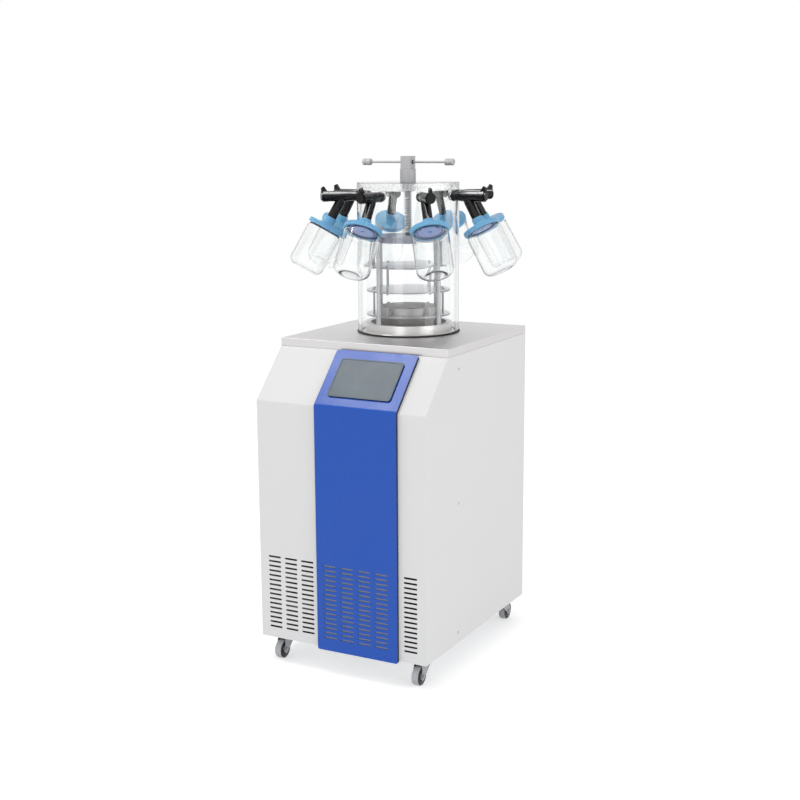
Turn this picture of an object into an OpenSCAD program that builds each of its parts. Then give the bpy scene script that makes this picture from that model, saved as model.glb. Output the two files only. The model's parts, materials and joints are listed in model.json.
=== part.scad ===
// Floor-standing laboratory freeze dryer: a sheet steel cabinet on casters, a cold trap
// under the worktop, and over it a clear drying chamber with three shelves, a hand screw
// that closes stoppers, and a ring of eight valves for flasks.
// +Z is up and z = 0 is the floor. The front faces -Y and the chamber stands at x = 0.

/* [Cabinet] */
// Width over the side panels
cabinet_w = 500; // [440:1:640]
// Depth from the front panel to the rear panel
cabinet_d = 630; // [600:1:800]
// Height of the casing from its lower edge to the underside of the worktop
body_h = 780; // [600:1:960]
// Height of the sloped part of the front, from the fold up to the worktop
slope_rise = 128; // [90:1:180]
// How far the sloped part of the front leans back
slope_run = 125; // [80:1:170]
// Outside radius of the fold between the upright and the sloped front
bend_r = 5; // [4:1:20]
// Height of the casing's lower edge above the floor
ground_gap = 70; // [66:1:100]
// Thickness of the casing's sheet steel
sheet_t = 1.5; // [1:0.1:2.5]
// Height of the worktop's folded edge
worktop_h = 22; // [15:1:40]
// Thickness of the worktop's sheet
worktop_t = 2; // [1.5:0.1:4]

/* [Frame] */
// Width of the frame's strips
strip_w = 40; // [34:1:60]
// Thickness of the frame's plates
frame_t = 2; // [1.5:0.5:4]
// Height of the base pan's lip
pan_lip = 25; // [15:1:40]
// Distance of the side screws from the front
screw_y = 188; // [170:1:240]
// Distance of the lowest side screw from the casing's lower edge
screw_low = 29; // [28:1:34]
// Distance of the highest side screw from the worktop's underside
screw_high = 37; // [20:1:38]

/* [Blue panel] */
// Width of the blue panel
blue_w = 240; // [220:1:260]
// Place of the blue panel's middle, to the right of the cabinet's middle
blue_x = 51; // [40:1:60]
// How far the blue panel stands out from the front
blue_rise = 8; // [5:0.5:15]
// How far the blue panel hangs below the casing
blue_drop = 5.5; // [0:0.5:15]
// Gap between the blue panel's top edge and the worktop, along the slope
blue_gap = 4; // [2:1:15]
// Corner radius of the blue panel
blue_corner_r = 6; // [4:1:20]

/* [Touch screen] */
// Width of the screen's case
screen_w = 184; // [150:1:200]
// Height of the screen's case, along the slope
screen_h = 119; // [90:1:125]
// Distance of the screen's middle from the fold, along the slope
screen_up = 86; // [80:1:90]
// Width of the rim around the glass
screen_rim = 3; // [2:0.5:14]
// How far the case stands out from the blue panel
screen_rise = 4; // [2:0.5:8]
// Depth of the case behind the blue panel
screen_depth = 30; // [15:1:40]

/* [Vents] */
// Length of a vent slot
slot_l = 38; // [20:1:44]
// Height of a vent slot
slot_h = 5; // [3:0.5:7]
// Spacing of the columns of slots
slot_dx = 51; // [46:1:56]
// Spacing of the rows of slots
slot_dz = 13.1; // [9:0.1:14]
// Number of rows of slots
slot_rows = 16; // [8:1:18]
// Height of the lowest row above the casing's lower edge
slot_low = 31; // [20:1:60]

/* [Chamber] */
// Distance of the chamber's axis from the front panel
drum_y = 389; // [370:1:400]
// Outside diameter of the clear drum
drum_d = 280; // [270:1:340]
// Wall of the clear drum
drum_wall = 8; // [5:0.5:12]
// Height of the lid's underside above the worktop
lid_z = 388.5; // [380:0.5:480]
// Thickness of the lid
lid_t = 20; // [12:1:30]
// Height of the black seal's outer lip
seal_h = 4.5; // [4:0.5:14]
// Width of the black seal's outer lip
seal_lip = 1.8; // [1:0.1:4]
// Inside diameter of the cold trap
trap_d = 208; // [180:1:214]
// Depth of the cold trap below the worktop
trap_h = 280; // [200:1:320]
// Wall of the cold trap
trap_wall = 1.5; // [1:0.1:3]
// Width of the steel collar round the cold trap's mouth
collar_w = 16; // [14:1:20]
// Height of the steel collar above the worktop
collar_h = 28; // [15:1:40]

/* [Shelves] */
// Diameter of the shelves
shelf_d = 230; // [226:1:238]
// Thickness of the shelves
shelf_t = 4; // [3:0.5:8]
// Height of the lowest shelf's middle above the worktop
shelf_low = 50; // [44:1:70]
// Spacing of the shelves
shelf_pitch = 66; // [55:1:76]
// Diameter of the guide columns
column_d = 12; // [8:0.5:13]
// Height of the guide columns' tops above the worktop
column_top = 285; // [270:1:320]
// Diameter of the link rods
rod_d = 4; // [3:0.5:5]
// Distance of the link rods from the chamber's axis
rod_ring = 97; // [94:1:98]
// How far each shelf gap closes as the stoppers go in
close_gap = 10; // [5:1:12]
// Diameter of the press plate
press_d = 206; // [204:1:208]
// Thickness of the press plate
press_t = 16; // [10:1:20]
// Diameter of the sample tray
tray_d = 164; // [120:1:170]
// Height of the sample tray
tray_h = 19; // [12:1:22]
// Wall of the sample tray
tray_wall = 1.5; // [1:0.1:3]
// Height of the vapour guide's lower edge above the worktop
guide_low = 18; // [12:1:30]
// Wall of the vapour guide under the lowest shelf
guide_wall = 1.5; // [1:0.1:3]
// How far the rack is turned about the chamber's axis
rack_turn = 28; // [0:1:44]

/* [Press screw] */
// Outside diameter of the press screw
thread_d = 21; // [16:0.5:22]
// Height of the screw's top above the worktop
screw_top = 455; // [450:1:470]
// Height of the hand bar above the worktop
bar_z = 462; // [460:1:480]
// Length of the hand bar with its knobs
bar_l = 278; // [180:1:320]
// Diameter of the hand bar
bar_d = 6; // [5:0.5:8]
// Diameter of the hand bar's knobs
knob_d = 18; // [12:1:24]
// Length of the hand bar's knobs
knob_l = 26; // [12:1:32]
// Width of the square hub that the bar goes through
hub_w = 30; // [29:1:36]
// Height of the hub's top above the worktop
hub_top = 478; // [474:1:500]
// Diameter of the screw housing above the lid
housing_d = 43; // [38:1:50]
// Height of the screw housing's top above the worktop
housing_top = 444; // [436:1:446]

/* [Flask valves] */
// Number of valves round the drum
valve_count = 8; // [8:1:8]
// How far the ring of valves is turned from the cabinet's front
valve_turn = -3.4; // [-6:0.1:6]
// Height of the valves above the worktop
valve_z = 373; // [360:1:374]
// Diameter of a valve's barrel
barrel_d = 28; // [24:1:34]
// Distance of a valve's outer end from the drum
barrel_l = 101; // [90:1:120]
// Diameter of a valve's port through the drum
port_d = 22; // [16:1:26]
// Diameter of the valve's stem
stem_d = 26; // [20:1:28]
// Where the stem leaves the barrel, measured from the drum
stem_out = 40; // [34:1:50]
// Angle between the stem and the vertical
stem_tilt = 30; // [10:1:40]
// Diameter of a valve's turning plug inside the barrel
plug_d = 20; // [14:1:20]
// Length of a valve's turning knob
valve_knob_l = 19; // [14:1:26]
// Height of the knob's ear above the barrel
ear_h = 13; // [8:1:20]
// Thickness of the knob's ear
ear_w = 8; // [4:1:12]
// Radial clearance of everything that turns in a bore
run_fit = 0.05; // [0.02:0.01:0.08]

/* [Flasks] */
// Diameter of a flask
flask_d = 99; // [92:1:120]
// Length of a flask
flask_l = 131; // [110:1:170]
// Diameter of a flask's neck
flask_neck_d = 89; // [70:1:90]
// Radius between a flask's side and its base
flask_round = 20; // [12:1:26]
// Wall of a flask
flask_wall = 2.5; // [1.5:0.1:4]
// Diameter of a flask's rubber cap
cap_d = 102; // [100:1:130]
// Thickness of the cap's disc
cap_t = 12; // [8:1:16]
// Length of the cap's neck with its shoulder
cap_neck_l = 23; // [14:1:30]
// Diameter of the cap's neck
cap_neck_d = 31; // [30:1:40]
// Distance of the cap's disc from the barrel's axis
cap_at = 89; // [80:1:110]

/* [Casters] */
// Diameter of a wheel
wheel_d = 50; // [38:1:52]
// Width of a wheel
wheel_w = 20; // [14:1:24]
// Distance of a wheel's axle behind its swivel pin
caster_trail = 22; // [14:1:26]
// Distance of a swivel pin from the cabinet's side
caster_in_x = 40; // [36:1:60]
// Distance of a swivel pin from the cabinet's front or rear
caster_in_y = 58; // [55:1:70]

/* [Hidden] */
$fn = 64;

// A small overlap that carries a cut through a face, and the gap where parts only rest.
cut = 1;
rest_gap = 0.3;
seat_fit = 0.1;
glass_deep = 2.5;
glass_t = 2;
glass_bed = 0.05;

// Levels and half sizes of the cabinet.
half_w = cabinet_w / 2;
in_w = half_w - sheet_t;
casing_top = ground_gap + body_h;
worktop_z = casing_top + worktop_h;
bend_h = body_h - slope_rise;
bend_z = ground_gap + bend_h;
slope_l = norm([slope_run, slope_rise]);
slope_a = atan2(slope_rise, slope_run);
pan_floor = ground_gap + frame_t;

// How far the fold's corner drops for each millimetre that a sheet lies further in.
fold_drop = (slope_l - slope_rise) / slope_run;

// Vent slots: three columns left of the blue panel, four in it, one to its right.
slot_top = slot_low + (slot_rows - 1) * slot_dz;
blue_left = blue_x - blue_w / 2;
blue_right = blue_x + blue_w / 2;
left_slots = [for (i = [0:2]) blue_left - 33.5 - (2 - i) * slot_dx];
blue_slots = [for (i = [0:3]) blue_x - 3 + (i - 1.5) * slot_dx];
right_slots = [blue_right + 34.5];
vent_margin = 12;

// Fasteners.
screw_r = 2;
screw_hole_r = 2.2;
screw_head_r = 3.6;
screw_head_h = 2;
side_screw_z = [screw_low, (screw_low + body_h - screw_high) / 2, body_h - screw_high];
rear_screw_z = [screw_low, body_h - screw_high];
rear_screw_x = half_w - strip_w / 2;

// Refrigeration set.
condenser_w = 330;
condenser_h = 226;
condenser_t = 50;
condenser_x = blue_x - 95;
condenser_y = 26;
header_r = 9;
flat_tubes = 14;
flat_tube_t = 2.5;
fan_r = 96;
fan_ring_r = 102;
fan_z = pan_floor + 4 + condenser_h / 2;
shroud_y = condenser_y + condenser_t;
shroud_depth = 12;
ring_l = 44;
ring_end = shroud_y + shroud_depth + ring_l;
motor_r = 36;
motor_l = 52;
hub_l = 22;
fan_hub_r = 20;
fan_shaft_r = 4;
compressor_x = 118;
compressor_y = cabinet_d - 200;
compressor_r = 72;
compressor_h = 185;
compressor_round = 30;
grommet_h = 12;
compressor_foot = pan_floor + grommet_h;
compressor_top = compressor_foot + 3 + compressor_h;

// Cold trap, its coil and its insulation.
trap_r = trap_d / 2;
trap_out = trap_r + trap_wall;
trap_bottom = worktop_z - trap_h;
trap_flange_r = trap_r + collar_w;
trap_flange_t = 3;
coil_r = 5;
coil_turns = 5;
coil_sides = 24;
coil_ring = (trap_out + rest_gap + coil_r) / cos(180 / coil_sides);
jacket_in = coil_ring + coil_r + 1;
jacket_out = jacket_in + 36;
jacket_top = worktop_z - worktop_t - trap_flange_t;
jacket_bottom = trap_bottom - 28;
vacuum_z = worktop_z - 100;
vacuum_in_r = 12;
vacuum_out_r = 14;
kf_r = 20;
kf_t = 3;
vacuum_end = cabinet_d + 24;
coil_low = trap_bottom + 22;
coil_high = vacuum_z - vacuum_out_r - 16;
drain_r = 6;
drain_z = jacket_bottom - 24;
drain_body_r = 12;
drain_body_start = cabinet_d - 26;
drain_stem_y = cabinet_d + 20;
drain_body_end = cabinet_d + 40;
drain_spout_r = 8;
drain_bore_r = 5;
drain_end = drain_body_end + 18;
lever_l = 40;

// Control box and mains inlet on the rear panel.
box_w = 130;
box_d = 110;
box_h = 180;
box_x = -150;
box_z = pan_floor + 190;
inlet_z = box_z + 60;
inlet_w = 50;
inlet_h = 66;
inlet_t = 3;
socket_w = 24;
socket_h = 17;
socket_d = 17;
socket_dz = -14;
rocker_w = 20;
rocker_h = 14;
rocker_dz = 19;
rocker_pin_r = 1.5;
rocker_tilt = 8;

// Chamber.
drum_r = drum_d / 2;
drum_in = drum_r - drum_wall;
seal_t = 3;
collar_r = trap_r + collar_w;
collar_foot_r = drum_in - 4;
collar_foot_t = 4;
collar_top = worktop_z + collar_h;
column_ring = trap_r + collar_w / 2;
column_r = column_d / 2;
spacer_r = 7.5;
notch_r = column_r + 0.5;
shelf_bottom_z = worktop_z + shelf_low - shelf_t / 2;
shelf_middle_z = shelf_bottom_z + shelf_pitch;
shelf_top_z = shelf_middle_z + shelf_pitch;
press_z = worktop_z + shelf_low + 3 * shelf_pitch;
rod_r = rod_d / 2;
rod_hole_r = rod_r + 0.5;
nut_r = 4;
nut_h = 3;
rod_tail = 3;
outer_rods = [11.7, 168.3, 191.7, 348.3];
rod_angles = [54, 126, 234, 306];
peg_h = 20;
peg_r = 4;

// Press screw: the hub turns in the housing and draws the screw up or down.
thread_r = thread_d / 2;
spigot_r = thread_r + 2.5;
spigot_l = housing_top - rest_gap - lid_z - 12;
gland_r = thread_r + 0.4;
housing_r = housing_d / 2;
boss_r = spigot_r + 3;
lid_nut_r = boss_r + 3;
lid_nut_t = 6;
neck_r = 8;
neck_l = 12;
neck_seat = 6;

// Valves, caps and flasks. The stem's line starts on the barrel's axis.
barrel_r = barrel_d / 2;
barrel_start = drum_r + rest_gap;
barrel_end = drum_r + barrel_l;
stem_at = drum_r + stem_out;
stem_r = stem_d / 2;
stem_end = cap_at - 9;
port_r = port_d / 2;
port_hole_r = port_r + rest_gap;
passage_r = 6;
plug_r = plug_d / 2;
plug_l = 14;
knob_cap_l = 4;
ear_peak = 8;
ear_drop = 4;
cap_disc_end = cap_at + cap_t;
cap_neck_start = cap_at - cap_neck_l;
cap_recess = 8;
neck_out = flask_neck_d / 2;
flask_r = flask_d / 2;
flask_start = cap_disc_end - cap_recess;
flask_end = flask_start + flask_l;
shoulder_at = cap_disc_end + 2;

// The bounding box runs from the front of the blue panel to the rearmost flask: the far
// side of that flask is the round edge of its base.
rear_cos = sin(stem_tilt) * cos(valve_turn);
flask_edge = (flask_end - flask_round) * rear_cos
    + (flask_r - flask_round) * sqrt(1 - rear_cos * rear_cos) + flask_round;
rear_reach = drum_y + stem_at * cos(valve_turn) + flask_edge;
origin_y = (rear_reach - blue_rise) / 2;

// Casters.
wheel_r = wheel_d / 2;
axle_r = 3;
fork_t = 2;
fork_in = wheel_w / 2 + 1.5;
fork_front = 24;
fork_rear = 33;
fork_foot_r = 10;
fork_top_z = ground_gap - 14.5;
race_r = 16;
pin_r = 5;
plate_t = 2.5;
caster_x = half_w - caster_in_x;
caster_front = caster_in_y;
caster_rear = cabinet_d - caster_in_y;

// ---------- helpers ----------

// Moves everything from the cabinet's own corner frame to the part's origin.
module place() {
    translate([0, -origin_y, 0]) children();
}

// Children are drawn about the chamber's axis, with z = 0 on top of the worktop.
module at_chamber() {
    translate([0, drum_y, worktop_z]) children();
}

// Children are drawn on the sloped front: x across, y up the slope, z outwards.
module on_slope() {
    translate([0, 0, bend_z]) rotate([slope_a, 0, 0]) children();
}

// A rectangle with round corners, about its middle.
module round_rect(w, h, r) {
    square([w - 2 * r, h], center = true);
    square([w, h - 2 * r], center = true);
    for (x = [-1, 1], y = [-1, 1]) {
        translate([x * (w / 2 - r), y * (h / 2 - r)]) circle(r);
    }
}

// A flat ring.
module ring(r_out, r_in, h) {
    difference() {
        cylinder(r = r_out, h = h);
        translate([0, 0, -cut]) cylinder(r = r_in, h = h + 2 * cut);
    }
}

// A profile drawn in y and z, as wide as w along x.
module across(w) {
    rotate([90, 0, 90]) translate([0, 0, -w / 2]) linear_extrude(w) children();
}

// A cylinder along +y from y0 to y1.
module y_rod(r, y0, y1) {
    translate([0, y1, 0]) rotate([90, 0, 0]) cylinder(r = r, h = y1 - y0);
}

// Where the sloped line, moved inwards by i, crosses the height z.
function slope_y(i, z) = (slope_run * (z - bend_z) + i * slope_l) / slope_rise;

// The region behind the folded front, moved inwards by i, between two heights.
module behind_front(i, z_low, z_high) {
    n = [-slope_rise, slope_run] / slope_l;
    m = max(bend_r, i);
    c = [m, bend_z - m * fold_drop];
    polygon([
        [i, z_low],
        [slope_run + 60, z_low],
        [slope_run + 60, z_high],
        [slope_y(i, z_high), z_high],
        c + n * (m - i),
        c,
        [i, c[1]]
    ]);
    if (m > i) {
        translate(c) circle(m - i);
    }
}

// The side outline of the cabinet, moved inwards by i.
module side_outline(i) {
    behind_front(i, ground_gap + i, casing_top - i);
    translate([slope_run + 50, ground_gap + i])
        square([cabinet_d - slope_run - 50 - i, body_h - 2 * i]);
}

// One column of vent slots, cut along y.
module slot_column(x) {
    for (row = [0:slot_rows - 1]) {
        translate([x, 0, ground_gap + slot_low + row * slot_dz]) rotate([90, 0, 0])
            linear_extrude(60, center = true) round_rect(slot_l, slot_h, slot_h / 2 - 0.01);
    }
}

// Unit vector, and a corner of a path eased by a parabola.
function unit(v) = v / norm(v);
function eased(a, p, b, q, steps) =
    let (p0 = p - unit(p - a) * q, p1 = p + unit(b - p) * q)
    [for (k = [0:steps]) let (t = k / steps)
        p0 * (1 - t) * (1 - t) + p * 2 * t * (1 - t) + p1 * t * t];
function eased_path(pts, q, steps) = concat(
    [pts[0]],
    [for (k = [1:len(pts) - 2]) each eased(pts[k - 1], pts[k], pts[k + 1], q, steps)],
    [pts[len(pts) - 1]]
);

// A side direction for each point of a path, carried along without twist.
function tangent(pts, k) = unit(pts[min(k + 1, len(pts) - 1)] - pts[max(k - 1, 0)]);
function carried(pts, k, side) =
    let (t = tangent(pts, k), s = unit(side - t * (side * t)))
    k == len(pts) - 1 ? [s] : concat([s], carried(pts, k + 1, s));

// A round tube along a path.
module tube_along(pts, r, sides, first_side) {
    side = carried(pts, 0, first_side);
    n = len(pts);
    rings = [for (k = [0:n - 1]) let (s = side[k], u = cross(tangent(pts, k), s))
        each [for (j = [0:sides - 1]) let (a = 360 * j / sides)
            pts[k] + s * r * cos(a) + u * r * sin(a)]];
    faces = concat(
        [[for (j = [0:sides - 1]) j]],
        [for (k = [0:n - 2], j = [0:sides - 1]) let (i = (j + 1) % sides)
            [k * sides + j, (k + 1) * sides + j, (k + 1) * sides + i, k * sides + i]],
        [[for (j = [sides - 1:-1:0]) (n - 1) * sides + j]]
    );
    polyhedron(points = rings, faces = faces, convexity = 6);
}

// ---------- cabinet ----------

module base_frame() {
    mid_y = screw_y - strip_w / 2;
    color("gainsboro") difference() {
        union() {
            // Base pan with its lip.
            difference() {
                translate([-in_w, sheet_t, ground_gap])
                    cube([2 * in_w, cabinet_d - 2 * sheet_t, pan_lip]);
                translate([-in_w + frame_t, sheet_t + frame_t, pan_floor])
                    cube([2 * (in_w - frame_t), cabinet_d - 2 * (sheet_t + frame_t), body_h]);
            }
            // A cut plate inside each side panel, with an upright behind the side screws.
            for (s = [-1, 1]) {
                translate([s * (in_w - frame_t / 2), 0, 0]) {
                    across(frame_t) difference() {
                        side_outline(sheet_t);
                        side_outline(sheet_t + strip_w);
                    }
                    translate([-frame_t / 2, mid_y, ground_gap + strip_w - cut])
                        cube([frame_t, strip_w, body_h - 2 * strip_w + 2 * cut]);
                }
            }
            // Rails under the worktop's rear edge and its front edge.
            translate([-in_w + cut, cabinet_d - sheet_t - 20, casing_top - sheet_t - 20])
                cube([2 * (in_w - cut), 20, 20]);
            translate([-in_w + cut, slope_y(sheet_t, casing_top) + 2, casing_top - sheet_t - 20])
                cube([2 * (in_w - cut), 20, 20]);
        }
        side_screw_holes(screw_hole_r);
        rear_screw_holes(screw_hole_r);
    }
}

// Through holes for the side screws and the rear screws.
module side_screw_holes(r) {
    for (z = side_screw_z) {
        translate([-half_w - cut, screw_y, ground_gap + z]) rotate([0, 90, 0])
            cylinder(r = r, h = cabinet_w + 2 * cut);
    }
}

module rear_screw_holes(r) {
    for (x = [-rear_screw_x, rear_screw_x]) {
        translate([x, 0, ground_gap + 16]) y_rod(r, cabinet_d - 8, cabinet_d + cut);
        translate([x, 0, casing_top - 12]) y_rod(r, cabinet_d - 30, cabinet_d + cut);
    }
}

module side_panel(s) {
    color("whitesmoke") difference() {
        translate([s * (half_w - sheet_t / 2), 0, 0]) across(sheet_t) side_outline(0);
        side_screw_holes(screw_hole_r);
    }
}

module front_panel() {
    window_w = blue_w - 2 * vent_margin;
    window_h = slot_top - slot_low + 2 * slot_h;
    color("whitesmoke") difference() {
        across(2 * in_w) difference() {
            behind_front(0, ground_gap, casing_top);
            behind_front(sheet_t, ground_gap - cut, casing_top + cut);
        }
        for (x = concat(left_slots, right_slots)) {
            slot_column(x);
        }
        // Window behind the blue panel's slots, and the hole for the screen's case.
        translate([blue_x - window_w / 2, -cut, ground_gap + slot_low - slot_h])
            cube([window_w, 4 * cut, window_h]);
        on_slope() translate([blue_x, screen_up, 0])
            cube([screen_w - 2 * screen_rim + 4, screen_h - 2 * screen_rim + 4, 20], center = true);
    }
}

// A rectangle from y = 0 to y = l with its two far corners rounded.
module flap(w, l, r) {
    translate([-w / 2, 0]) square([w, l - r]);
    translate([r - w / 2, 0]) square([w - 2 * r, l]);
    for (x = [-1, 1]) {
        translate([x * (w / 2 - r), l - r]) circle(r);
    }
}

// What is cut off a panel w wide that ends at y = l with two round corners. The arcs are
// set out a little, so that they meet the straight edges at a slight angle.
module end_waste(w, l, r) {
    set_out = 0.2;
    xc = w / 2 - r + set_out;
    yc = l - r + set_out;
    difference() {
        translate([-w / 2 - r, yc + set_out]) square([w + 2 * r, 3 * r]);
        translate([-xc, yc - r]) square([2 * xc, 2 * r]);
        for (x = [-xc, xc]) {
            translate([x, yc]) circle(r);
        }
    }
    translate([-w / 2 - r, l]) square([w + 2 * r, 60]);
}

// The blue panel's outside block, shrunk by i on every side but the back.
module blue_block(i, back) {
    w = blue_w - 2 * i;
    r = blue_corner_r - i;
    upright_l = body_h / 2 + blue_drop - i;
    difference() {
        translate([blue_x, 0, 0]) across(w) difference() {
            behind_front(i - blue_rise, ground_gap - blue_drop - 1, casing_top + 40);
            behind_front(back, ground_gap - blue_drop - 3, casing_top + 60);
        }
        // Round lower corners and the lower edge.
        translate([blue_x, 0, ground_gap + body_h / 2]) rotate([90, 0, 0])
            linear_extrude(60, center = true) mirror([0, 1, 0]) end_waste(w, upright_l, r);
        // Round upper corners and the upper edge, square to the slope.
        on_slope() translate([blue_x, 0, 0]) linear_extrude(60, center = true)
            end_waste(w, slope_l - blue_gap - i, r);
    }
}

module blue_front_panel() {
    color("royalblue") difference() {
        blue_block(0, 0);
        blue_block(sheet_t, 4);
        for (x = blue_slots) {
            slot_column(x);
        }
        on_slope() translate([blue_x, screen_up, 0])
            cube([screen_w - 2 * screen_rim + 2, screen_h - 2 * screen_rim + 2, 40], center = true);
    }
}

module screen_case() {
    flange_z = blue_rise;
    glass_w = screen_w - 2 * screen_rim;
    glass_h = screen_h - 2 * screen_rim;
    color("dimgray") on_slope() translate([blue_x, screen_up, 0]) difference() {
        union() {
            translate([0, 0, flange_z]) linear_extrude(screen_rise) round_rect(screen_w, screen_h, 8);
            translate([-glass_w / 2, -glass_h / 2, -screen_depth])
                cube([glass_w, glass_h, screen_depth + flange_z + cut]);
        }
        translate([0, 0, flange_z + screen_rise - glass_deep])
            linear_extrude(glass_deep + cut) round_rect(glass_w, glass_h, 3);
    }
}

module screen_glass() {
    glass_w = screen_w - 2 * screen_rim - 0.4;
    glass_h = screen_h - 2 * screen_rim - 0.4;
    color("slategray") on_slope() translate([blue_x, screen_up, blue_rise + screen_rise - glass_deep + glass_bed])
        linear_extrude(glass_t) round_rect(glass_w, glass_h, 3);
}

module worktop() {
    depth = cabinet_d - slope_run;
    color("silver") difference() {
        translate([-half_w, slope_run, casing_top]) cube([cabinet_w, depth, worktop_h]);
        translate([-half_w + worktop_t, slope_run + worktop_t, casing_top - cut])
            cube([cabinet_w - 2 * worktop_t, depth - 2 * worktop_t, worktop_h - worktop_t + cut]);
        at_chamber() translate([0, 0, -worktop_h]) cylinder(r = trap_r, h = 2 * worktop_h);
    }
}

module rear_panel() {
    color("whitesmoke") difference() {
        translate([-in_w, cabinet_d - sheet_t, ground_gap]) cube([2 * in_w, sheet_t, body_h]);
        rear_screw_holes(screw_hole_r);
        translate([0, 0, vacuum_z]) y_rod(vacuum_out_r + 1, cabinet_d - 20, cabinet_d + 20);
        translate([0, 0, drain_z]) y_rod(drain_body_r + rest_gap, cabinet_d - 20, cabinet_d + 20);
        translate([box_x, 0, inlet_z]) cube([inlet_w - 7.4, 3 * cabinet_d, inlet_h - 7.4], center = true);
        // Outlet slots for the warm air.
        for (x = [compressor_x - slot_dx, compressor_x, compressor_x + slot_dx]) {
            translate([x - 15, cabinet_d, 0]) slot_column(0);
        }
    }
}

module panel_screw() {
    cylinder(r = screw_head_r, h = screw_head_h);
    translate([0, 0, -8]) cylinder(r = screw_r, h = 8 + cut);
}

module panel_screws() {
    color("silver") {
        for (s = [-1, 1], z = side_screw_z) {
            translate([s * half_w, screw_y, ground_gap + z]) rotate([0, s * 90, 0]) panel_screw();
        }
        for (x = [-rear_screw_x, rear_screw_x], z = [ground_gap + 16, casing_top - 12]) {
            translate([x, cabinet_d, z]) rotate([-90, 0, 0]) panel_screw();
        }
    }
}

// ---------- refrigeration ----------

module compressor() {
    foot_w = 170;
    foot_d = 120;
    bolt_x = foot_w / 2 - 14;
    bolt_y = foot_d / 2 - 14;
    r = compressor_round;
    color("dimgray") translate([compressor_x, compressor_y, 0]) {
        for (x = [-bolt_x, bolt_x], y = [-bolt_y, bolt_y]) {
            translate([x, y, pan_floor]) cylinder(r = 10, h = grommet_h);
        }
        translate([-foot_w / 2, -foot_d / 2, compressor_foot]) cube([foot_w, foot_d, 3]);
        translate([0, 0, compressor_foot + 3]) rotate_extrude() {
            square([compressor_r - r, compressor_h]);
            translate([0, r]) square([compressor_r, compressor_h - 2 * r]);
            translate([compressor_r - r, r]) intersection() {
                circle(r);
                translate([0, -r]) square([r, r]);
            }
            translate([compressor_r - r, compressor_h - r]) intersection() {
                circle(r);
                square([r, r]);
            }
        }
        // Terminal cover on the shell's side.
        translate([-compressor_r - 14, -22, compressor_foot + 90]) cube([24, 44, 56]);
    }
}

module condenser() {
    z0 = pan_floor;
    span = condenser_w / 2 - header_r;
    color("silver") translate([condenser_x, condenser_y, z0]) {
        for (s = [-1, 1]) {
            translate([s * span, condenser_t / 2, 0]) cylinder(r = header_r, h = condenser_h + 8);
        }
        for (k = [0:flat_tubes - 1]) {
            translate([-span, condenser_t / 2 - 12, 12 + k * (condenser_h - 20) / (flat_tubes - 1)])
                cube([2 * span, 24, flat_tube_t]);
        }
        // Rails that the shroud is fixed to.
        for (z = [0, condenser_h + 4]) {
            translate([-condenser_w / 2, 0, z]) cube([condenser_w, condenser_t, 4]);
        }
    }
}

module fan_shroud() {
    h = condenser_h + 8;
    color("black") translate([condenser_x, shroud_y, 0]) difference() {
        union() {
            translate([-condenser_w / 2, 0, pan_floor]) cube([condenser_w, shroud_depth, h]);
            translate([0, 0, fan_z]) y_rod(fan_ring_r + 3, 0, shroud_depth + ring_l);
        }
        translate([-condenser_w / 2 + 3, -cut, pan_floor + 3])
            cube([condenser_w - 6, shroud_depth - 2, h - 6]);
        translate([0, 0, fan_z]) y_rod(fan_ring_r, -cut, ring_end);
    }
}

module fan_motor() {
    arm_t = 6;
    color("gray") translate([condenser_x, 0, fan_z]) {
        y_rod(motor_r, ring_end, ring_end + motor_l);
        for (a = [45:90:315]) {
            translate([0, ring_end, 0]) rotate([0, a, 0]) translate([0, 0, -7])
                cube([fan_ring_r + 3, arm_t, 14]);
        }
        y_rod(fan_shaft_r, ring_end - hub_l - 4, ring_end + cut);
    }
}

module fan_blade() {
    hub_start = ring_end - hub_l - 3;
    color("white") translate([condenser_x, 0, fan_z]) difference() {
        union() {
            y_rod(fan_hub_r, hub_start, hub_start + hub_l);
            for (k = [0:3]) {
                translate([0, hub_start + hub_l / 2, 0]) rotate([0, k * 90, 0])
                    translate([fan_hub_r - 3, 0, 0]) rotate([28, 0, 0])
                    translate([0, -1, -26]) cube([fan_r - fan_hub_r - 3, 2, 52]);
            }
        }
        y_rod(fan_shaft_r + run_fit, hub_start - cut, hub_start + hub_l + cut);
    }
}

// Helix of the evaporator, with a straight tail at each end that leaves the jacket.
function coil_point(t) = [
    coil_ring * cos(360 * coil_turns * t),
    drum_y + coil_ring * sin(360 * coil_turns * t),
    coil_low + (coil_high - coil_low) * t
];
coil_steps = coil_sides * coil_turns;
tail_x = jacket_out + 6;
tail_bend = 14;
coil_path = concat(
    eased([tail_x, drum_y - tail_bend, coil_low], [coil_ring, drum_y - tail_bend, coil_low],
        coil_point(0), tail_bend * 0.6, 4),
    [for (k = [0:coil_steps]) coil_point(k / coil_steps)],
    eased(coil_point(1), [coil_ring, drum_y + tail_bend, coil_high],
        [tail_x, drum_y + tail_bend, coil_high], tail_bend * 0.6, 4)
);

module evaporator_coil() {
    start = [[tail_x, drum_y - tail_bend, coil_low]];
    end = [[tail_x, drum_y + tail_bend, coil_high]];
    color("peru") tube_along(concat(start, coil_path, end), coil_r, 8, [0, 0, 1]);
}

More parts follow.
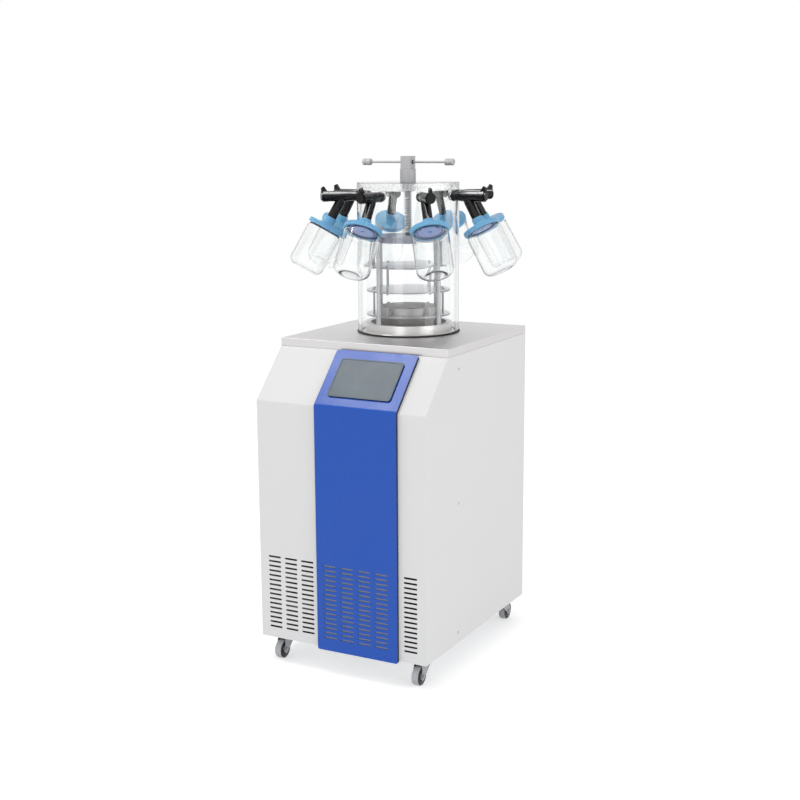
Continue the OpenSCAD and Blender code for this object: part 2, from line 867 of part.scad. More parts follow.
module refrigerant_pipes() {
    header_z = pan_floor + condenser_h + 8;
    header_x = condenser_x + condenser_w / 2 - header_r;
    low_header_x = condenser_x - condenser_w / 2 + header_r;
    pipe_y = condenser_y + condenser_t / 2;
    suction_x = compressor_x + 34;
    discharge_x = compressor_x - 20;
    drier_y = drum_y - tail_bend;
    // Suction line: from the coil's upper tail down to the compressor.
    suction = eased_path([
        [tail_x, drum_y + tail_bend, coil_high],
        [tail_x + 24, drum_y + tail_bend, coil_high],
        [tail_x + 24, drum_y + tail_bend, compressor_top + 60],
        [suction_x, compressor_y - 10, compressor_top + 60],
        [suction_x, compressor_y - 10, compressor_top]
    ], 10, 4);
    // Discharge line: from the compressor to the top of the condenser's right header.
    discharge = eased_path([
        [discharge_x, compressor_y, compressor_top],
        [discharge_x, compressor_y, compressor_top + 30],
        [discharge_x, shroud_y + 40, compressor_top + 30],
        [header_x, pipe_y, compressor_top + 66],
        [header_x, pipe_y, header_z]
    ], 12, 4);
    // Liquid line: from the left header through the filter drier to the coil's lower tail.
    drier_x = jacket_out + 6 + 24;
    drier_z = coil_low - 66;
    liquid_a = eased_path([
        [low_header_x, pipe_y, header_z],
        [low_header_x, pipe_y, drier_z - 60],
        [drier_x, pipe_y + 30, drier_z - 60],
        [drier_x, drier_y, drier_z - 60],
        [drier_x, drier_y, drier_z - 40]
    ], 12, 4);
    liquid_b = eased_path([
        [drier_x, drier_y, drier_z + 40],
        [drier_x, drier_y, coil_low],
        [tail_x, drier_y, coil_low]
    ], 10, 4);
    color("peru") {
        tube_along(suction, coil_r, 8, [0, 0, 1]);
        tube_along(discharge, 4, 8, [1, 0, 0]);
        tube_along(liquid_a, 4, 8, [1, 0, 0]);
        translate([drier_x, drier_y, drier_z - 40]) cylinder(r = 14, h = 80);
        tube_along(liquid_b, 4, 8, [1, 0, 0]);
    }
}

module cold_trap() {
    color("silver") translate([0, drum_y, 0]) difference() {
        union() {
            translate([0, 0, trap_bottom - trap_wall])
                cylinder(r = trap_out, h = worktop_z - worktop_t - trap_bottom + trap_wall);
            translate([0, 0, jacket_top]) cylinder(r = trap_flange_r, h = trap_flange_t);
        }
        translate([0, 0, trap_bottom]) cylinder(r = trap_r, h = trap_h + cut);
        translate([0, 0, trap_bottom - 2 * trap_wall]) cylinder(r = drain_r - 1.5, h = 3 * trap_wall);
        translate([0, 0, vacuum_z]) y_rod(vacuum_in_r, trap_r - 20, trap_out + 2);
    }
}

module insulation_jacket() {
    color("khaki") translate([0, drum_y, 0]) difference() {
        translate([0, 0, jacket_bottom]) cylinder(r = jacket_out, h = jacket_top - jacket_bottom);
        translate([0, 0, trap_bottom - trap_wall]) cylinder(r = jacket_in, h = trap_h + 10);
        translate([0, 0, jacket_bottom - cut]) cylinder(r = drain_r + 1, h = 60);
        translate([0, 0, vacuum_z]) y_rod(vacuum_out_r + 0.5, trap_r, jacket_out + 2);
        for (p = [[-tail_bend, coil_low], [tail_bend, coil_high]]) {
            translate([coil_ring - 8, p[0], p[1]]) rotate([0, 90, 0])
                cylinder(r = coil_r + 1, h = 60);
        }
    }
}

module control_box() {
    color("lightgray") difference() {
        translate([box_x - box_w / 2, cabinet_d - sheet_t - box_d, box_z]) cube([box_w, box_d, box_h]);
        translate([box_x - box_w / 2 + 1.5, cabinet_d - sheet_t - box_d + 1.5, box_z + 1.5])
            cube([box_w - 3, box_d, box_h - 3]);
    }
}

// ---------- rear fittings ----------

module drain_pipe() {
    run = eased_path([
        [0, drum_y, trap_bottom - trap_wall],
        [0, drum_y, drain_z],
        [0, drain_body_start, drain_z]
    ], 16, 6);
    color("silver") tube_along(run, drain_r, 12, [1, 0, 0]);
}

module drain_valve() {
    color("gold") translate([0, 0, drain_z]) difference() {
        union() {
            y_rod(drain_body_r, drain_body_start, drain_body_end);
            y_rod(drain_spout_r, drain_body_end - cut, drain_end);
            translate([0, drain_stem_y, 0]) cylinder(r = 7, h = 18);
            // Nut against the outside of the rear panel.
            translate([0, cabinet_d + 6, 0]) rotate([90, 0, 0]) cylinder(r = 17, h = 6, $fn = 6);
        }
        y_rod(drain_bore_r, drain_body_start - cut, drain_end + cut);
        translate([0, drain_stem_y, 8]) cylinder(r = 4, h = 12);
    }
}

module drain_lever() {
    color("firebrick") translate([0, drain_stem_y, drain_z]) {
        translate([0, 0, 8 + rest_gap]) cylinder(r = 4 - run_fit, h = 12);
        translate([0, 0, 18 + rest_gap]) {
            cylinder(r = 9, h = 4);
            translate([0, -5, 0]) cube([lever_l, 10, 4]);
            translate([lever_l, 0, 0]) cylinder(r = 5, h = 4);
        }
    }
}

module vacuum_port() {
    saddle = drum_y + trap_r - 6;
    color("silver") difference() {
        translate([0, 0, vacuum_z]) difference() {
            union() {
                y_rod(vacuum_out_r, saddle, vacuum_end);
                y_rod(kf_r, vacuum_end - kf_t, vacuum_end);
                translate([0, vacuum_end - kf_t, 0]) rotate([90, 0, 0])
                    cylinder(r1 = kf_r, r2 = vacuum_out_r, h = 2);
            }
            y_rod(vacuum_in_r, saddle - cut, vacuum_end + cut);
        }
        translate([0, drum_y, vacuum_z - 40]) cylinder(r = trap_out, h = 80);
    }
}

module power_inlet() {
    body_w = inlet_w - 8;
    body_hh = inlet_h - 8;
    color("black") translate([box_x, cabinet_d, inlet_z]) difference() {
        union() {
            translate([-inlet_w / 2, 0, -inlet_h / 2]) cube([inlet_w, inlet_t, inlet_h]);
            translate([-body_w / 2, -24, -body_hh / 2]) cube([body_w, 24 + cut, body_hh]);
        }
        // Socket with three blades left standing in it.
        difference() {
            translate([-socket_w / 2, inlet_t - socket_d, socket_dz - socket_h / 2])
                cube([socket_w, socket_d + cut, socket_h]);
            for (p = [[-7, -2.5], [7, -2.5], [0, 4]]) {
                translate([p[0] - 1, -socket_d, socket_dz + p[1] - 2]) cube([2, socket_d - 2, 4]);
            }
        }
        // Well and pivot holes of the rocker.
        translate([-rocker_w / 2 - 0.5, inlet_t - 16, rocker_dz - rocker_h / 2 - 0.5])
            cube([rocker_w + 1, 16 + cut, rocker_h + 1]);
        translate([-rocker_w / 2 - 2.5, inlet_t - 6, rocker_dz]) rotate([0, 90, 0])
            cylinder(r = rocker_pin_r, h = rocker_w + 5);
    }
}

module power_switch() {
    pin_y = inlet_t - 6;
    half_h = rocker_h / 2 - 0.8;
    color("firebrick") translate([box_x, cabinet_d, inlet_z + rocker_dz]) {
        translate([0, pin_y, 0]) rotate([rocker_tilt, 0, 0]) across(rocker_w) {
            circle(4);
            polygon([[0, -4], [0, 4], [5, half_h], [8, half_h], [6.5, 0], [8, -half_h], [5, -half_h]]);
        }
        translate([-rocker_w / 2 - 2, pin_y, 0]) rotate([0, 90, 0])
            cylinder(r = rocker_pin_r - run_fit, h = rocker_w + 4);
    }
}

// ---------- chamber ----------

module trap_collar() {
    color("silver") at_chamber() difference() {
        union() {
            cylinder(r = collar_r, h = collar_h);
            cylinder(r = collar_foot_r, h = collar_foot_t);
        }
        translate([0, 0, -cut]) cylinder(r = trap_r, h = collar_h + 2 * cut);
    }
}

module chamber_seal() {
    out = drum_r + rest_gap + seal_lip;
    color("black") at_chamber() difference() {
        cylinder(r = out, h = seal_h);
        translate([0, 0, seal_t]) cylinder(r = drum_r + rest_gap, h = seal_h);
        translate([0, 0, -cut]) cylinder(r = drum_in - 2, h = seal_h);
    }
}

module chamber_drum() {
    color("azure", 0.35) at_chamber() difference() {
        rotate([0, 0, valve_turn + 180 / valve_count]) translate([0, 0, seal_t])
            ring(drum_r, drum_in, lid_z - seal_t);
        for (k = [0:valve_count - 1]) {
            valve_place(k) translate([drum_in - 30, 0, 0]) rotate([0, 90, 0]) rotate([0, 0, 45])
                cylinder(r = port_hole_r, h = drum_wall + 60);
        }
    }
}

module chamber_lid() {
    color("azure", 0.35) at_chamber() translate([0, 0, lid_z]) ring(drum_r, boss_r + rest_gap, lid_t);
}

module screw_housing() {
    lid_top = lid_z + lid_t;
    bore_z = lid_z + 12;
    color("silver") at_chamber() {
        difference() {
            union() {
                translate([0, 0, lid_top]) cylinder(r = housing_r, h = housing_top - lid_top);
                translate([0, 0, lid_z - lid_nut_t]) cylinder(r = boss_r, h = lid_t + lid_nut_t + cut);
            }
            translate([0, 0, bore_z]) cylinder(r = spigot_r + run_fit, h = 100);
            translate([0, 0, lid_z - 20]) cylinder(r = gland_r, h = 100);
        }
        // Lock nut under the lid.
        translate([0, 0, lid_z - lid_nut_t]) ring(lid_nut_r, boss_r, lid_nut_t);
    }
}

module handle_hub() {
    hub_low = housing_top + rest_gap;
    color("silver") at_chamber() difference() {
        union() {
            translate([-hub_w / 2, -hub_w / 2, hub_low]) cube([hub_w, hub_w, hub_top - hub_low]);
            translate([0, 0, hub_low - spigot_l]) cylinder(r = spigot_r, h = spigot_l + cut);
        }
        // Threaded well for the screw, and the cross hole for the bar.
        translate([0, 0, hub_low - spigot_l - cut])
            cylinder(r = thread_r + run_fit, h = screw_top + 2 - hub_low + spigot_l + cut);
        translate([-hub_w, 0, bar_z]) rotate([0, 90, 0])
            cylinder(r = bar_d / 2 + run_fit, h = 2 * hub_w);
        for (s = [-1, 1]) {
            translate([s * hub_w / 2, 0, bar_z]) rotate([0, 90, 0])
                cylinder(r = bar_d / 2 + 2, h = 4, center = true);
        }
    }
}

module handle_bar() {
    color("silver") at_chamber() translate([-bar_l / 2, 0, bar_z]) rotate([0, 90, 0]) {
        translate([0, 0, knob_l - cut]) cylinder(r = bar_d / 2, h = bar_l - 2 * knob_l + 2 * cut);
        cylinder(r = knob_d / 2, h = knob_l);
        translate([0, 0, bar_l - knob_l]) cylinder(r = knob_d / 2, h = knob_l);
    }
}

module press_screw() {
    seat = press_z - worktop_z + press_t - neck_seat;
    color("silver") at_chamber() {
        translate([0, 0, seat]) cylinder(r = neck_r, h = neck_l + neck_seat);
        translate([0, 0, seat + neck_l]) cylinder(r = thread_r, h = screw_top - seat - neck_l);
    }
}

// The rack is square to the columns, and turned about the chamber's axis.
module rack_place() {
    at_chamber() rotate([0, 0, rack_turn]) children();
}

module guide_columns() {
    spacer_h = shelf_low - shelf_t / 2 - collar_h;
    color("silver") rack_place() for (a = [45:90:315]) {
        rotate([0, 0, a]) translate([column_ring, 0, collar_h]) {
            cylinder(r = column_r, h = column_top - collar_h);
            cylinder(r = spacer_r, h = spacer_h);
        }
    }
}

// A shelf disc with a notch at each column, holes for the rods from above, and its own
// rods hanging down with a nut under the next shelf.
module shelf_disc(d, t, hole_angles) {
    difference() {
        cylinder(r = d / 2, h = t);
        for (a = [45:90:315]) {
            rotate([0, 0, a]) translate([column_ring, 0, -cut]) cylinder(r = notch_r, h = t + 2 * cut);
        }
        for (a = hole_angles) {
            rotate([0, 0, a]) translate([rod_ring, 0, -cut]) cylinder(r = rod_hole_r, h = t + 2 * cut);
        }
    }
}

module hanging_rods(angles, t) {
    nut_top = -(shelf_pitch + rest_gap);
    for (a = angles) {
        rotate([0, 0, a]) translate([rod_ring, 0, 0]) {
            translate([0, 0, nut_top - nut_h - rod_tail])
                cylinder(r = rod_r, h = -nut_top + nut_h + rod_tail + cut);
            translate([0, 0, nut_top - nut_h]) cylinder(r = nut_r, h = nut_h);
            translate([0, 0, t - cut]) cylinder(r = nut_r, h = nut_h + cut);
        }
    }
}

module press_plate() {
    rods_up = press_z - worktop_z;
    drop = rods_up - (shelf_top_z - worktop_z);
    color("dimgray") rack_place() translate([0, 0, rods_up]) {
        difference() {
            cylinder(r = press_d / 2, h = press_t);
            translate([0, 0, press_t - neck_seat]) cylinder(r = neck_r + seat_fit, h = press_t);
        }
        for (a = outer_rods) {
            rotate([0, 0, a]) translate([rod_ring, 0, 0]) {
                translate([0, 0, -drop - rest_gap - nut_h - rod_tail])
                    cylinder(r = rod_r, h = drop + rest_gap + nut_h + rod_tail + cut);
                translate([0, 0, -drop - rest_gap - nut_h]) cylinder(r = nut_r, h = nut_h);
            }
        }
    }
}

module shelf_top() {
    color("lightgray") rack_place() translate([0, 0, shelf_top_z - worktop_z]) {
        shelf_disc(shelf_d, shelf_t, outer_rods);
        hanging_rods(rod_angles, shelf_t);
    }
}

module shelf_middle() {
    color("lightgray") rack_place() translate([0, 0, shelf_middle_z - worktop_z]) {
        shelf_disc(shelf_d, shelf_t, rod_angles);
        hanging_rods(outer_rods, shelf_t);
    }
}

module shelf_bottom() {
    guide_h = shelf_bottom_z - worktop_z - guide_low;
    color("lightgray") rack_place() translate([0, 0, shelf_bottom_z - worktop_z]) {
        shelf_disc(shelf_d, shelf_t, outer_rods);
        // Short pegs that stop the rods of the shelf above.
        for (a = rod_angles) {
            rotate([0, 0, a]) translate([rod_ring, 0, 0]) cylinder(r = peg_r, h = shelf_t + peg_h);
        }
        // Skirt that guides the vapour down into the cold trap.
        translate([0, 0, -guide_h]) ring(tray_d / 2, tray_d / 2 - guide_wall, guide_h + cut);
    }
}

module sample_tray() {
    color("dimgray") rack_place() translate([0, 0, shelf_bottom_z - worktop_z + shelf_t]) difference() {
        cylinder(r = tray_d / 2, h = tray_h);
        translate([0, 0, tray_wall]) cylinder(r = tray_d / 2 - tray_wall, h = tray_h);
    }
}

// ---------- valves and flasks ----------

// Children are drawn on valve k: x outwards from the chamber's axis, z = 0 on the barrel.
module valve_place(k) {
    rotate([0, 0, k * 360 / valve_count + valve_turn]) translate([0, 0, valve_z]) children();
}

// Children are drawn along a valve's stem: z runs down the stem from the barrel's axis.
module stem_place(k) {
    valve_place(k) translate([stem_at, 0, 0]) rotate([0, 180 - stem_tilt, 0]) children();
}

module valve_bodies() {
    knob_start = barrel_end - valve_knob_l;
    color("black") at_chamber() for (k = [0:valve_count - 1]) {
        difference() {
            union() {
                valve_place(k) translate([barrel_start, 0, 0]) rotate([0, 90, 0])
                    cylinder(r = barrel_r, h = knob_start - barrel_start);
                valve_place(k) translate([drum_in - 4, 0, 0]) rotate([0, 90, 0])
                    cylinder(r = port_r, h = barrel_start - drum_in + 4 + cut);
                stem_place(k) cylinder(r = stem_r, h = stem_end);
            }
            // Passage from the drum, well for the turning plug, and bore of the stem.
            valve_place(k) translate([drum_in - 10, 0, 0]) rotate([0, 90, 0])
                cylinder(r = passage_r, h = barrel_l);
            valve_place(k) translate([knob_start - plug_l - 1, 0, 0]) rotate([0, 90, 0])
                cylinder(r = plug_r + run_fit, h = plug_l + 2 + cut);
            stem_place(k) cylinder(r = passage_r, h = stem_end + cut);
        }
    }
}

module valve_knob(k) {
    start = barrel_end - valve_knob_l + rest_gap;
    ear_top = barrel_r + ear_h;
    color("black") at_chamber() valve_place(k) {
        translate([start, 0, 0]) rotate([0, 90, 0])
            cylinder(r = barrel_r + 0.5, h = valve_knob_l - rest_gap - knob_cap_l);
        translate([barrel_end - knob_cap_l - cut, 0, 0]) rotate([0, 90, 0])
            cylinder(r = barrel_r - 3, h = knob_cap_l + cut);
        translate([start - plug_l, 0, 0]) rotate([0, 90, 0]) cylinder(r = plug_r, h = plug_l + cut);
        // Ear that the fingers turn: a fin with its peak near the outer end.
        translate([0, ear_w / 2, 0]) rotate([90, 0, 0]) linear_extrude(ear_w)
            polygon([[start + 1, 0], [barrel_end - 0.5, 0], [barrel_end - 0.5, ear_top - ear_drop],
                [barrel_end - ear_peak, ear_top], [start + 1, barrel_r - 1]]);
    }
}

module flask_caps() {
    shoulder = 6;
    color("deepskyblue") at_chamber() for (k = [0:valve_count - 1]) {
        stem_place(k) difference() {
            union() {
                translate([0, 0, cap_neck_start]) cylinder(r = cap_neck_d / 2, h = cap_neck_l + cut);
                translate([0, 0, cap_at - shoulder])
                    cylinder(r1 = cap_neck_d / 2, r2 = cap_neck_d / 2 + 16, h = shoulder);
                translate([0, 0, cap_at]) cylinder(r = cap_d / 2, h = cap_t);
            }
            // Socket for the stem, hole into the flask, and recess for the flask's neck.
            translate([0, 0, cap_neck_start - cut])
                cylinder(r = stem_r + seat_fit, h = stem_end - cap_neck_start + cut);
            cylinder(r = passage_r, h = cap_disc_end + cut);
            translate([0, 0, flask_start]) cylinder(r = neck_out + seat_fit, h = cap_t);
        }
    }
}

// Outline of a flask, shrunk by w, from its mouth down to its base.
module flask_outline(w) {
    start = flask_start - (w > 0 ? cut : 0);
    r = flask_r - w;
    n = neck_out - w;
    q = flask_round - w;
    polygon([[0, start], [n, start], [n, cap_disc_end], [r, shoulder_at + 8], [r, flask_end - w - q],
        [r - q, flask_end - w - q], [r - q, flask_end - w], [0, flask_end - w]]);
    translate([r - q, flask_end - w - q]) intersection() {
        circle(q);
        square([q, q]);
    }
}

module flasks() {
    color("white", 0.3) at_chamber() for (k = [0:valve_count - 1]) {
        stem_place(k) rotate_extrude() difference() {
            flask_outline(0);
            flask_outline(flask_wall);
        }
    }
}

// ---------- casters ----------

// Children are drawn at caster k's swivel pin: the wheel trails to -y in front and to
// +y at the rear.
module caster_place(k) {
    x = k % 2 == 0 ? -caster_x : caster_x;
    y = k < 2 ? caster_front : caster_rear;
    translate([x, y, 0]) rotate([0, 0, k < 2 ? 0 : 180]) children();
}

module caster_plates() {
    color("silver") for (k = [0:3]) {
        caster_place(k) {
            translate([-24, -30, ground_gap - plate_t]) cube([48, 60, plate_t]);
            translate([0, 0, fork_top_z + fork_t + rest_gap])
                cylinder(r = race_r, h = ground_gap - fork_top_z - fork_t - rest_gap);
            translate([0, 0, fork_top_z - rest_gap - 3]) {
                cylinder(r = pin_r, h = 12);
                cylinder(r = pin_r + 3, h = 3);
            }
        }
    }
}

module caster_fork(k) {
    cheek_x = fork_in;
    color("silver") caster_place(k) {
        difference() {
            union() {
                translate([-fork_in - fork_t, -fork_front, fork_top_z])
                    cube([2 * (fork_in + fork_t), fork_front + fork_rear, fork_t]);
                for (s = [-1, 1]) {
                    translate([s * (cheek_x + fork_t / 2), 0, 0]) across(fork_t) {
                        polygon([[-fork_front, fork_top_z + fork_t], [fork_rear, fork_top_z + fork_t],
                            [-caster_trail + fork_foot_r, wheel_r - 4],
                            [-caster_trail - fork_foot_r, wheel_r - 4]]);
                        translate([-caster_trail, wheel_r - 1]) circle(fork_foot_r + 0.5);
                    }
                }
            }
            translate([0, 0, fork_top_z - cut]) cylinder(r = pin_r + run_fit, h = fork_t + 2 * cut);
        }
        // Axle with its bolt head and nut.
        translate([-cheek_x - fork_t - 3, -caster_trail, wheel_r]) rotate([0, 90, 0]) {
            cylinder(r = axle_r, h = 2 * (cheek_x + fork_t + 3));
            cylinder(r = 5, h = 3 + cut / 2);
            translate([0, 0, 2 * (cheek_x + fork_t) + 3 - cut / 2]) cylinder(r = 5, h = 3 + cut / 2);
        }
    }
}

module caster_wheel(k) {
    edge = 3;
    color("darkgray") caster_place(k) translate([0, -caster_trail, wheel_r]) rotate([0, 90, 0])
        rotate_extrude() difference() {
            union() {
                translate([0, -wheel_w / 2]) square([wheel_r - edge, wheel_w]);
                translate([0, edge - wheel_w / 2]) square([wheel_r, wheel_w - 2 * edge]);
                for (s = [-1, 1]) {
                    translate([wheel_r - edge, s * (wheel_w / 2 - edge)]) circle(edge);
                }
            }
            translate([-cut, -wheel_w]) square([axle_r + run_fit + cut, 2 * wheel_w]);
            for (s = [-1, 1]) {
                translate([9, s * wheel_w / 2 - 2]) square([8, 4]);
            }
            translate([-100, -50]) square([100, 100]);
        }
}

place() base_frame();
place() side_panel(-1);  // left_side_panel
place() side_panel(1);  // right_side_panel
place() front_panel();
place() blue_front_panel();
place() screen_case();
place() screen_glass();
place() worktop();
place() rear_panel();
place() panel_screws();
place() compressor();
place() condenser();
place() fan_shroud();
place() fan_motor();
place() fan_blade();
place() refrigerant_pipes();
place() cold_trap();
place() evaporator_coil();
place() insulation_jacket();
place() control_box();
place() drain_pipe();
place() drain_valve();
place() drain_lever();
place() vacuum_port();
place() power_inlet();
place() power_switch();
place() trap_collar();
place() chamber_seal();
place() chamber_drum();
place() chamber_lid();
place() screw_housing();
place() handle_hub();
place() handle_bar();
place() press_screw();
place() press_plate();
place() guide_columns();
place() shelf_top();
place() shelf_middle();
place() shelf_bottom();
place() sample_tray();
place() valve_bodies();
place() valve_knob(0);  // valve_knob_1
place() valve_knob(1);  // valve_knob_2
place() valve_knob(2);  // valve_knob_3
place() valve_knob(3);  // valve_knob_4
place() valve_knob(4);  // valve_knob_5
place() valve_knob(5);  // valve_knob_6
place() valve_knob(6);  // valve_knob_7
place() valve_knob(7);  // valve_knob_8
place() flask_caps();
place() flasks();
place() caster_plates();
place() caster_fork(0);  // caster_fork_1
place() caster_fork(1);  // caster_fork_2
place() caster_fork(2);  // caster_fork_3
place() caster_fork(3);  // caster_fork_4
place() caster_wheel(0);  // caster_wheel_1
place() caster_wheel(1);  // caster_wheel_2
place() caster_wheel(2);  // caster_wheel_3
place() caster_wheel(3);  // caster_wheel_4
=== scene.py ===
# %% [markdown]
# # A laboratory freeze dryer
#
# A freeze dryer freezes a sample and draws its water off as vapour. This one is a
# sheet steel cabinet on casters with a clear drying chamber on top. The construction
# model gives every size and every moving body; this lesson gives each piece the
# surface that the real one has, and rebuilds in finer meshes the pieces that need it.
#
# We begin by loading the construction model. Each of its nodes arrives as a mesh at
# the origin, with its place stored in its points, and already rides on its body.

import json
import math
import bmesh
import bpy
from mathutils import Matrix, Vector

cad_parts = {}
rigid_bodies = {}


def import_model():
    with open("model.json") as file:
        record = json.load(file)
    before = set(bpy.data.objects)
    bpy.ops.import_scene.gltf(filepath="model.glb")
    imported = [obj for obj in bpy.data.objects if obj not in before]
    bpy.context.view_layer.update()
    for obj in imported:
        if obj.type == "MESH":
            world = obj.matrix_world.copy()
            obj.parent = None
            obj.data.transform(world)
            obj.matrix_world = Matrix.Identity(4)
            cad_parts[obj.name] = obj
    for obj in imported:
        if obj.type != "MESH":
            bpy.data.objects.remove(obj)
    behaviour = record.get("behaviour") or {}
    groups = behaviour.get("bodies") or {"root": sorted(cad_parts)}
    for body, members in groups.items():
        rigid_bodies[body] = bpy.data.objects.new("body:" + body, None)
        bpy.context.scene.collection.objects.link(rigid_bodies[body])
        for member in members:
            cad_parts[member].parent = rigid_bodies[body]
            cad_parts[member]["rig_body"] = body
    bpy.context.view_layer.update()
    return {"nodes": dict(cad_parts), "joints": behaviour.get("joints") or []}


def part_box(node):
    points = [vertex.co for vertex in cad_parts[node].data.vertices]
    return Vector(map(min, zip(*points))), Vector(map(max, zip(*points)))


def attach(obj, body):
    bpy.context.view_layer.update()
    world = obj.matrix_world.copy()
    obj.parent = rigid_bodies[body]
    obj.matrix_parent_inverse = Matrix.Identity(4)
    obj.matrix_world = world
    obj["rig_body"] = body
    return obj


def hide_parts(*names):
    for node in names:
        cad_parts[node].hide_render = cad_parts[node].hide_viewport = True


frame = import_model()
joints = {joint["name"]: joint for joint in frame["joints"]}

# %% [markdown]
# ## Sizes that several pieces share
#
# A value that belongs to the construction model is read from it, so the pieces made
# here still fit if a size changes. The chamber stands on the worktop, and nearly
# everything above the cabinet is placed from the chamber's axis.

# %% Sizes read from the model
drum_low, drum_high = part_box("chamber_drum")
lid_low, lid_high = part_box("chamber_lid")
axis_x = (drum_low.x + drum_high.x) / 2
axis_y = (drum_low.y + drum_high.y) / 2
worktop_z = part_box("worktop")[1].z
drum_r = (drum_high.x - drum_low.x) / 2
mm = 0.001
print("chamber axis", round(axis_x, 4), round(axis_y, 4), "worktop", round(worktop_z, 4))

# %% [markdown]
# ## The camera
#
# The camera comes early, because it decides how large each detail appears. It looks
# slightly down at the front and the right side with a rather long lens, as a product
# photographer would, so that the upright edges stay nearly upright. Three angles and
# a place fix it.

# %% Camera
view_turn = math.radians(27.9945)
view_pitch = math.radians(10.949)
view_roll = math.radians(0.333)
forward = Vector((-math.sin(view_turn) * math.cos(view_pitch),
                  math.cos(view_turn) * math.cos(view_pitch),
                  -math.sin(view_pitch)))
flat_right = Vector((math.cos(view_turn), math.sin(view_turn), 0))
flat_down = forward.cross(flat_right)
right = math.cos(view_roll) * flat_right + math.sin(view_roll) * flat_down
down = -math.sin(view_roll) * flat_right + math.cos(view_roll) * flat_down
camera_data = bpy.data.cameras.new("studio_camera")
camera_data.lens = 60.26
camera_data.sensor_width = 36
camera_data.clip_end = 60
camera = bpy.data.objects.new("studio_camera", camera_data)
bpy.context.scene.collection.objects.link(camera)
cabinet_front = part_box("front_panel")[0].y
camera_place = Vector((1.71145, -2.88405 + cabinet_front, 1.3901))
camera.matrix_world = Matrix((
    (right.x, -down.x, -forward.x, camera_place.x),
    (right.y, -down.y, -forward.y, camera_place.y),
    (right.z, -down.z, -forward.z, camera_place.z),
    (0, 0, 0, 1)))
bpy.context.scene.camera = camera
print("camera at", [round(c, 3) for c in camera_place])

# %% [markdown]
# ## Two small tools for materials
#
# Paint charts and screens give colours as sRGB hex values, while shaders work in
# linear light, so one function turns the first into the second. The other function
# adds one shader node, with its settings and its links, to a node tree: with it a
# material reads from top to bottom like a recipe.

# %% Colours and nodes
def linear(hex_value):
    """An sRGB hex colour, such as "#336699", as linear red, green, blue and alpha."""
    shares = [int(hex_value[i:i + 2], 16) / 255 for i in (1, 3, 5)]
    return [s / 12.92 if s <= 0.04045 else ((s + 0.055) / 1.055) ** 2.4 for s in shares] + [1.0]


def add(tree, kind, values=None, links=None):
    """Adds a node to a tree. values are its settings or its sockets' numbers, and links
    are the sockets that feed it."""
    made = tree.nodes.new(kind)
    for name, value in (values or {}).items():
        if isinstance(name, str) and hasattr(made, name):
            setattr(made, name, value)
        else:
            made.inputs[name].default_value = value
    for name, source in (links or {}).items():
        tree.links.new(source, made.inputs[name])
    return made


def start_material(name, hex_value, roughness, **sockets):
    """A new material with one Principled shader, and its tree and shader."""
    material = bpy.data.materials.new(name)
    material.use_nodes = True
    tree = material.node_tree
    tree.nodes.clear()
    shader = add(tree, "ShaderNodeBsdfPrincipled",
                 {"Base Color": linear(hex_value), "Roughness": roughness})
    for socket, value in sockets.items():
        shader.inputs[socket.replace("_", " ")].default_value = value
    out = add(tree, "ShaderNodeOutputMaterial", links={"Surface": shader.outputs[0]})
    out.name = "Out"
    return material, tree, shader


finishes = {}
print("white in linear light:", [round(c, 3) for c in linear("#F2F2F2")[:3]])

# %% [markdown]
# ## Powder-coated sheet
#
# The cabinet's panels are folded steel with a baked polyester powder coat. Powder
# melts into a smooth film with a faint waviness, called orange peel, whose bumps are
# a millimetre or two apart. A noise texture of that size drives a weak bump, and a
# slower noise lets the roughness drift a little, as it does on a large sprayed panel.
# The alternative, a flat colour, would look like plastic film.

# %% Powder coat
def powder_coat(name, hex_value, roughness, peel_mm=2.2, strength=0.05, specular=0.38):
    """Baked powder, with peel_mm from one bump of its orange peel to the next."""
    material, tree, shader = start_material(name, hex_value, roughness, Specular_IOR_Level=specular)
    place = add(tree, "ShaderNodeTexCoord")
    # One noise cell for each bump, so the scale is cells in a metre.
    peel = add(tree, "ShaderNodeTexNoise",
               {"Scale": 1000 / peel_mm, "Detail": 1.5, "Roughness": 0.4},
               {"Vector": place.outputs["Object"]})
    bump = add(tree, "ShaderNodeBump", {"Strength": strength, "Distance": 0.0006},
               {"Height": peel.outputs["Fac"]})
    drift = add(tree, "ShaderNodeTexNoise", {"Scale": 9.0, "Detail": 3.0},
                {"Vector": place.outputs["Object"]})
    sheen = add(tree, "ShaderNodeMapRange",
                {"From Min": 0.3, "From Max": 0.7,
                 "To Min": roughness - 0.03, "To Max": roughness + 0.04},
                {"Value": drift.outputs["Fac"]})
    tree.links.new(bump.outputs["Normal"], shader.inputs["Normal"])
    tree.links.new(sheen.outputs["Result"], shader.inputs["Roughness"])
    return material


finishes["white_panel"] = powder_coat("powder_coat_white", "#F1F1F1", 0.42)
finishes["blue_panel"] = powder_coat("powder_coat_blue_gloss", "#1556C0", 0.27,
                                     strength=0.035, specular=0.4)
finishes["press_coat"] = powder_coat("powder_coat_violet_grey", "#9294A2", 0.4, peel_mm=1.5)
finishes["blue_return_shade"] = powder_coat("edge_trim_dark_blue", "#161B33", 0.5, peel_mm=1.5)
finishes["primer_and_slot_shade"] = powder_coat("primer_charcoal", "#2A2B2D", 0.7, peel_mm=2.0)
finishes["compressor_coat"] = powder_coat("baked_enamel_black", "#17181A", 0.35,
                                          peel_mm=3.0, strength=0.1)
finishes["grey_coat"] = powder_coat("powder_coat_grey", "#74777B", 0.45, peel_mm=1.8)
print("powder coats:", [name for name in finishes])

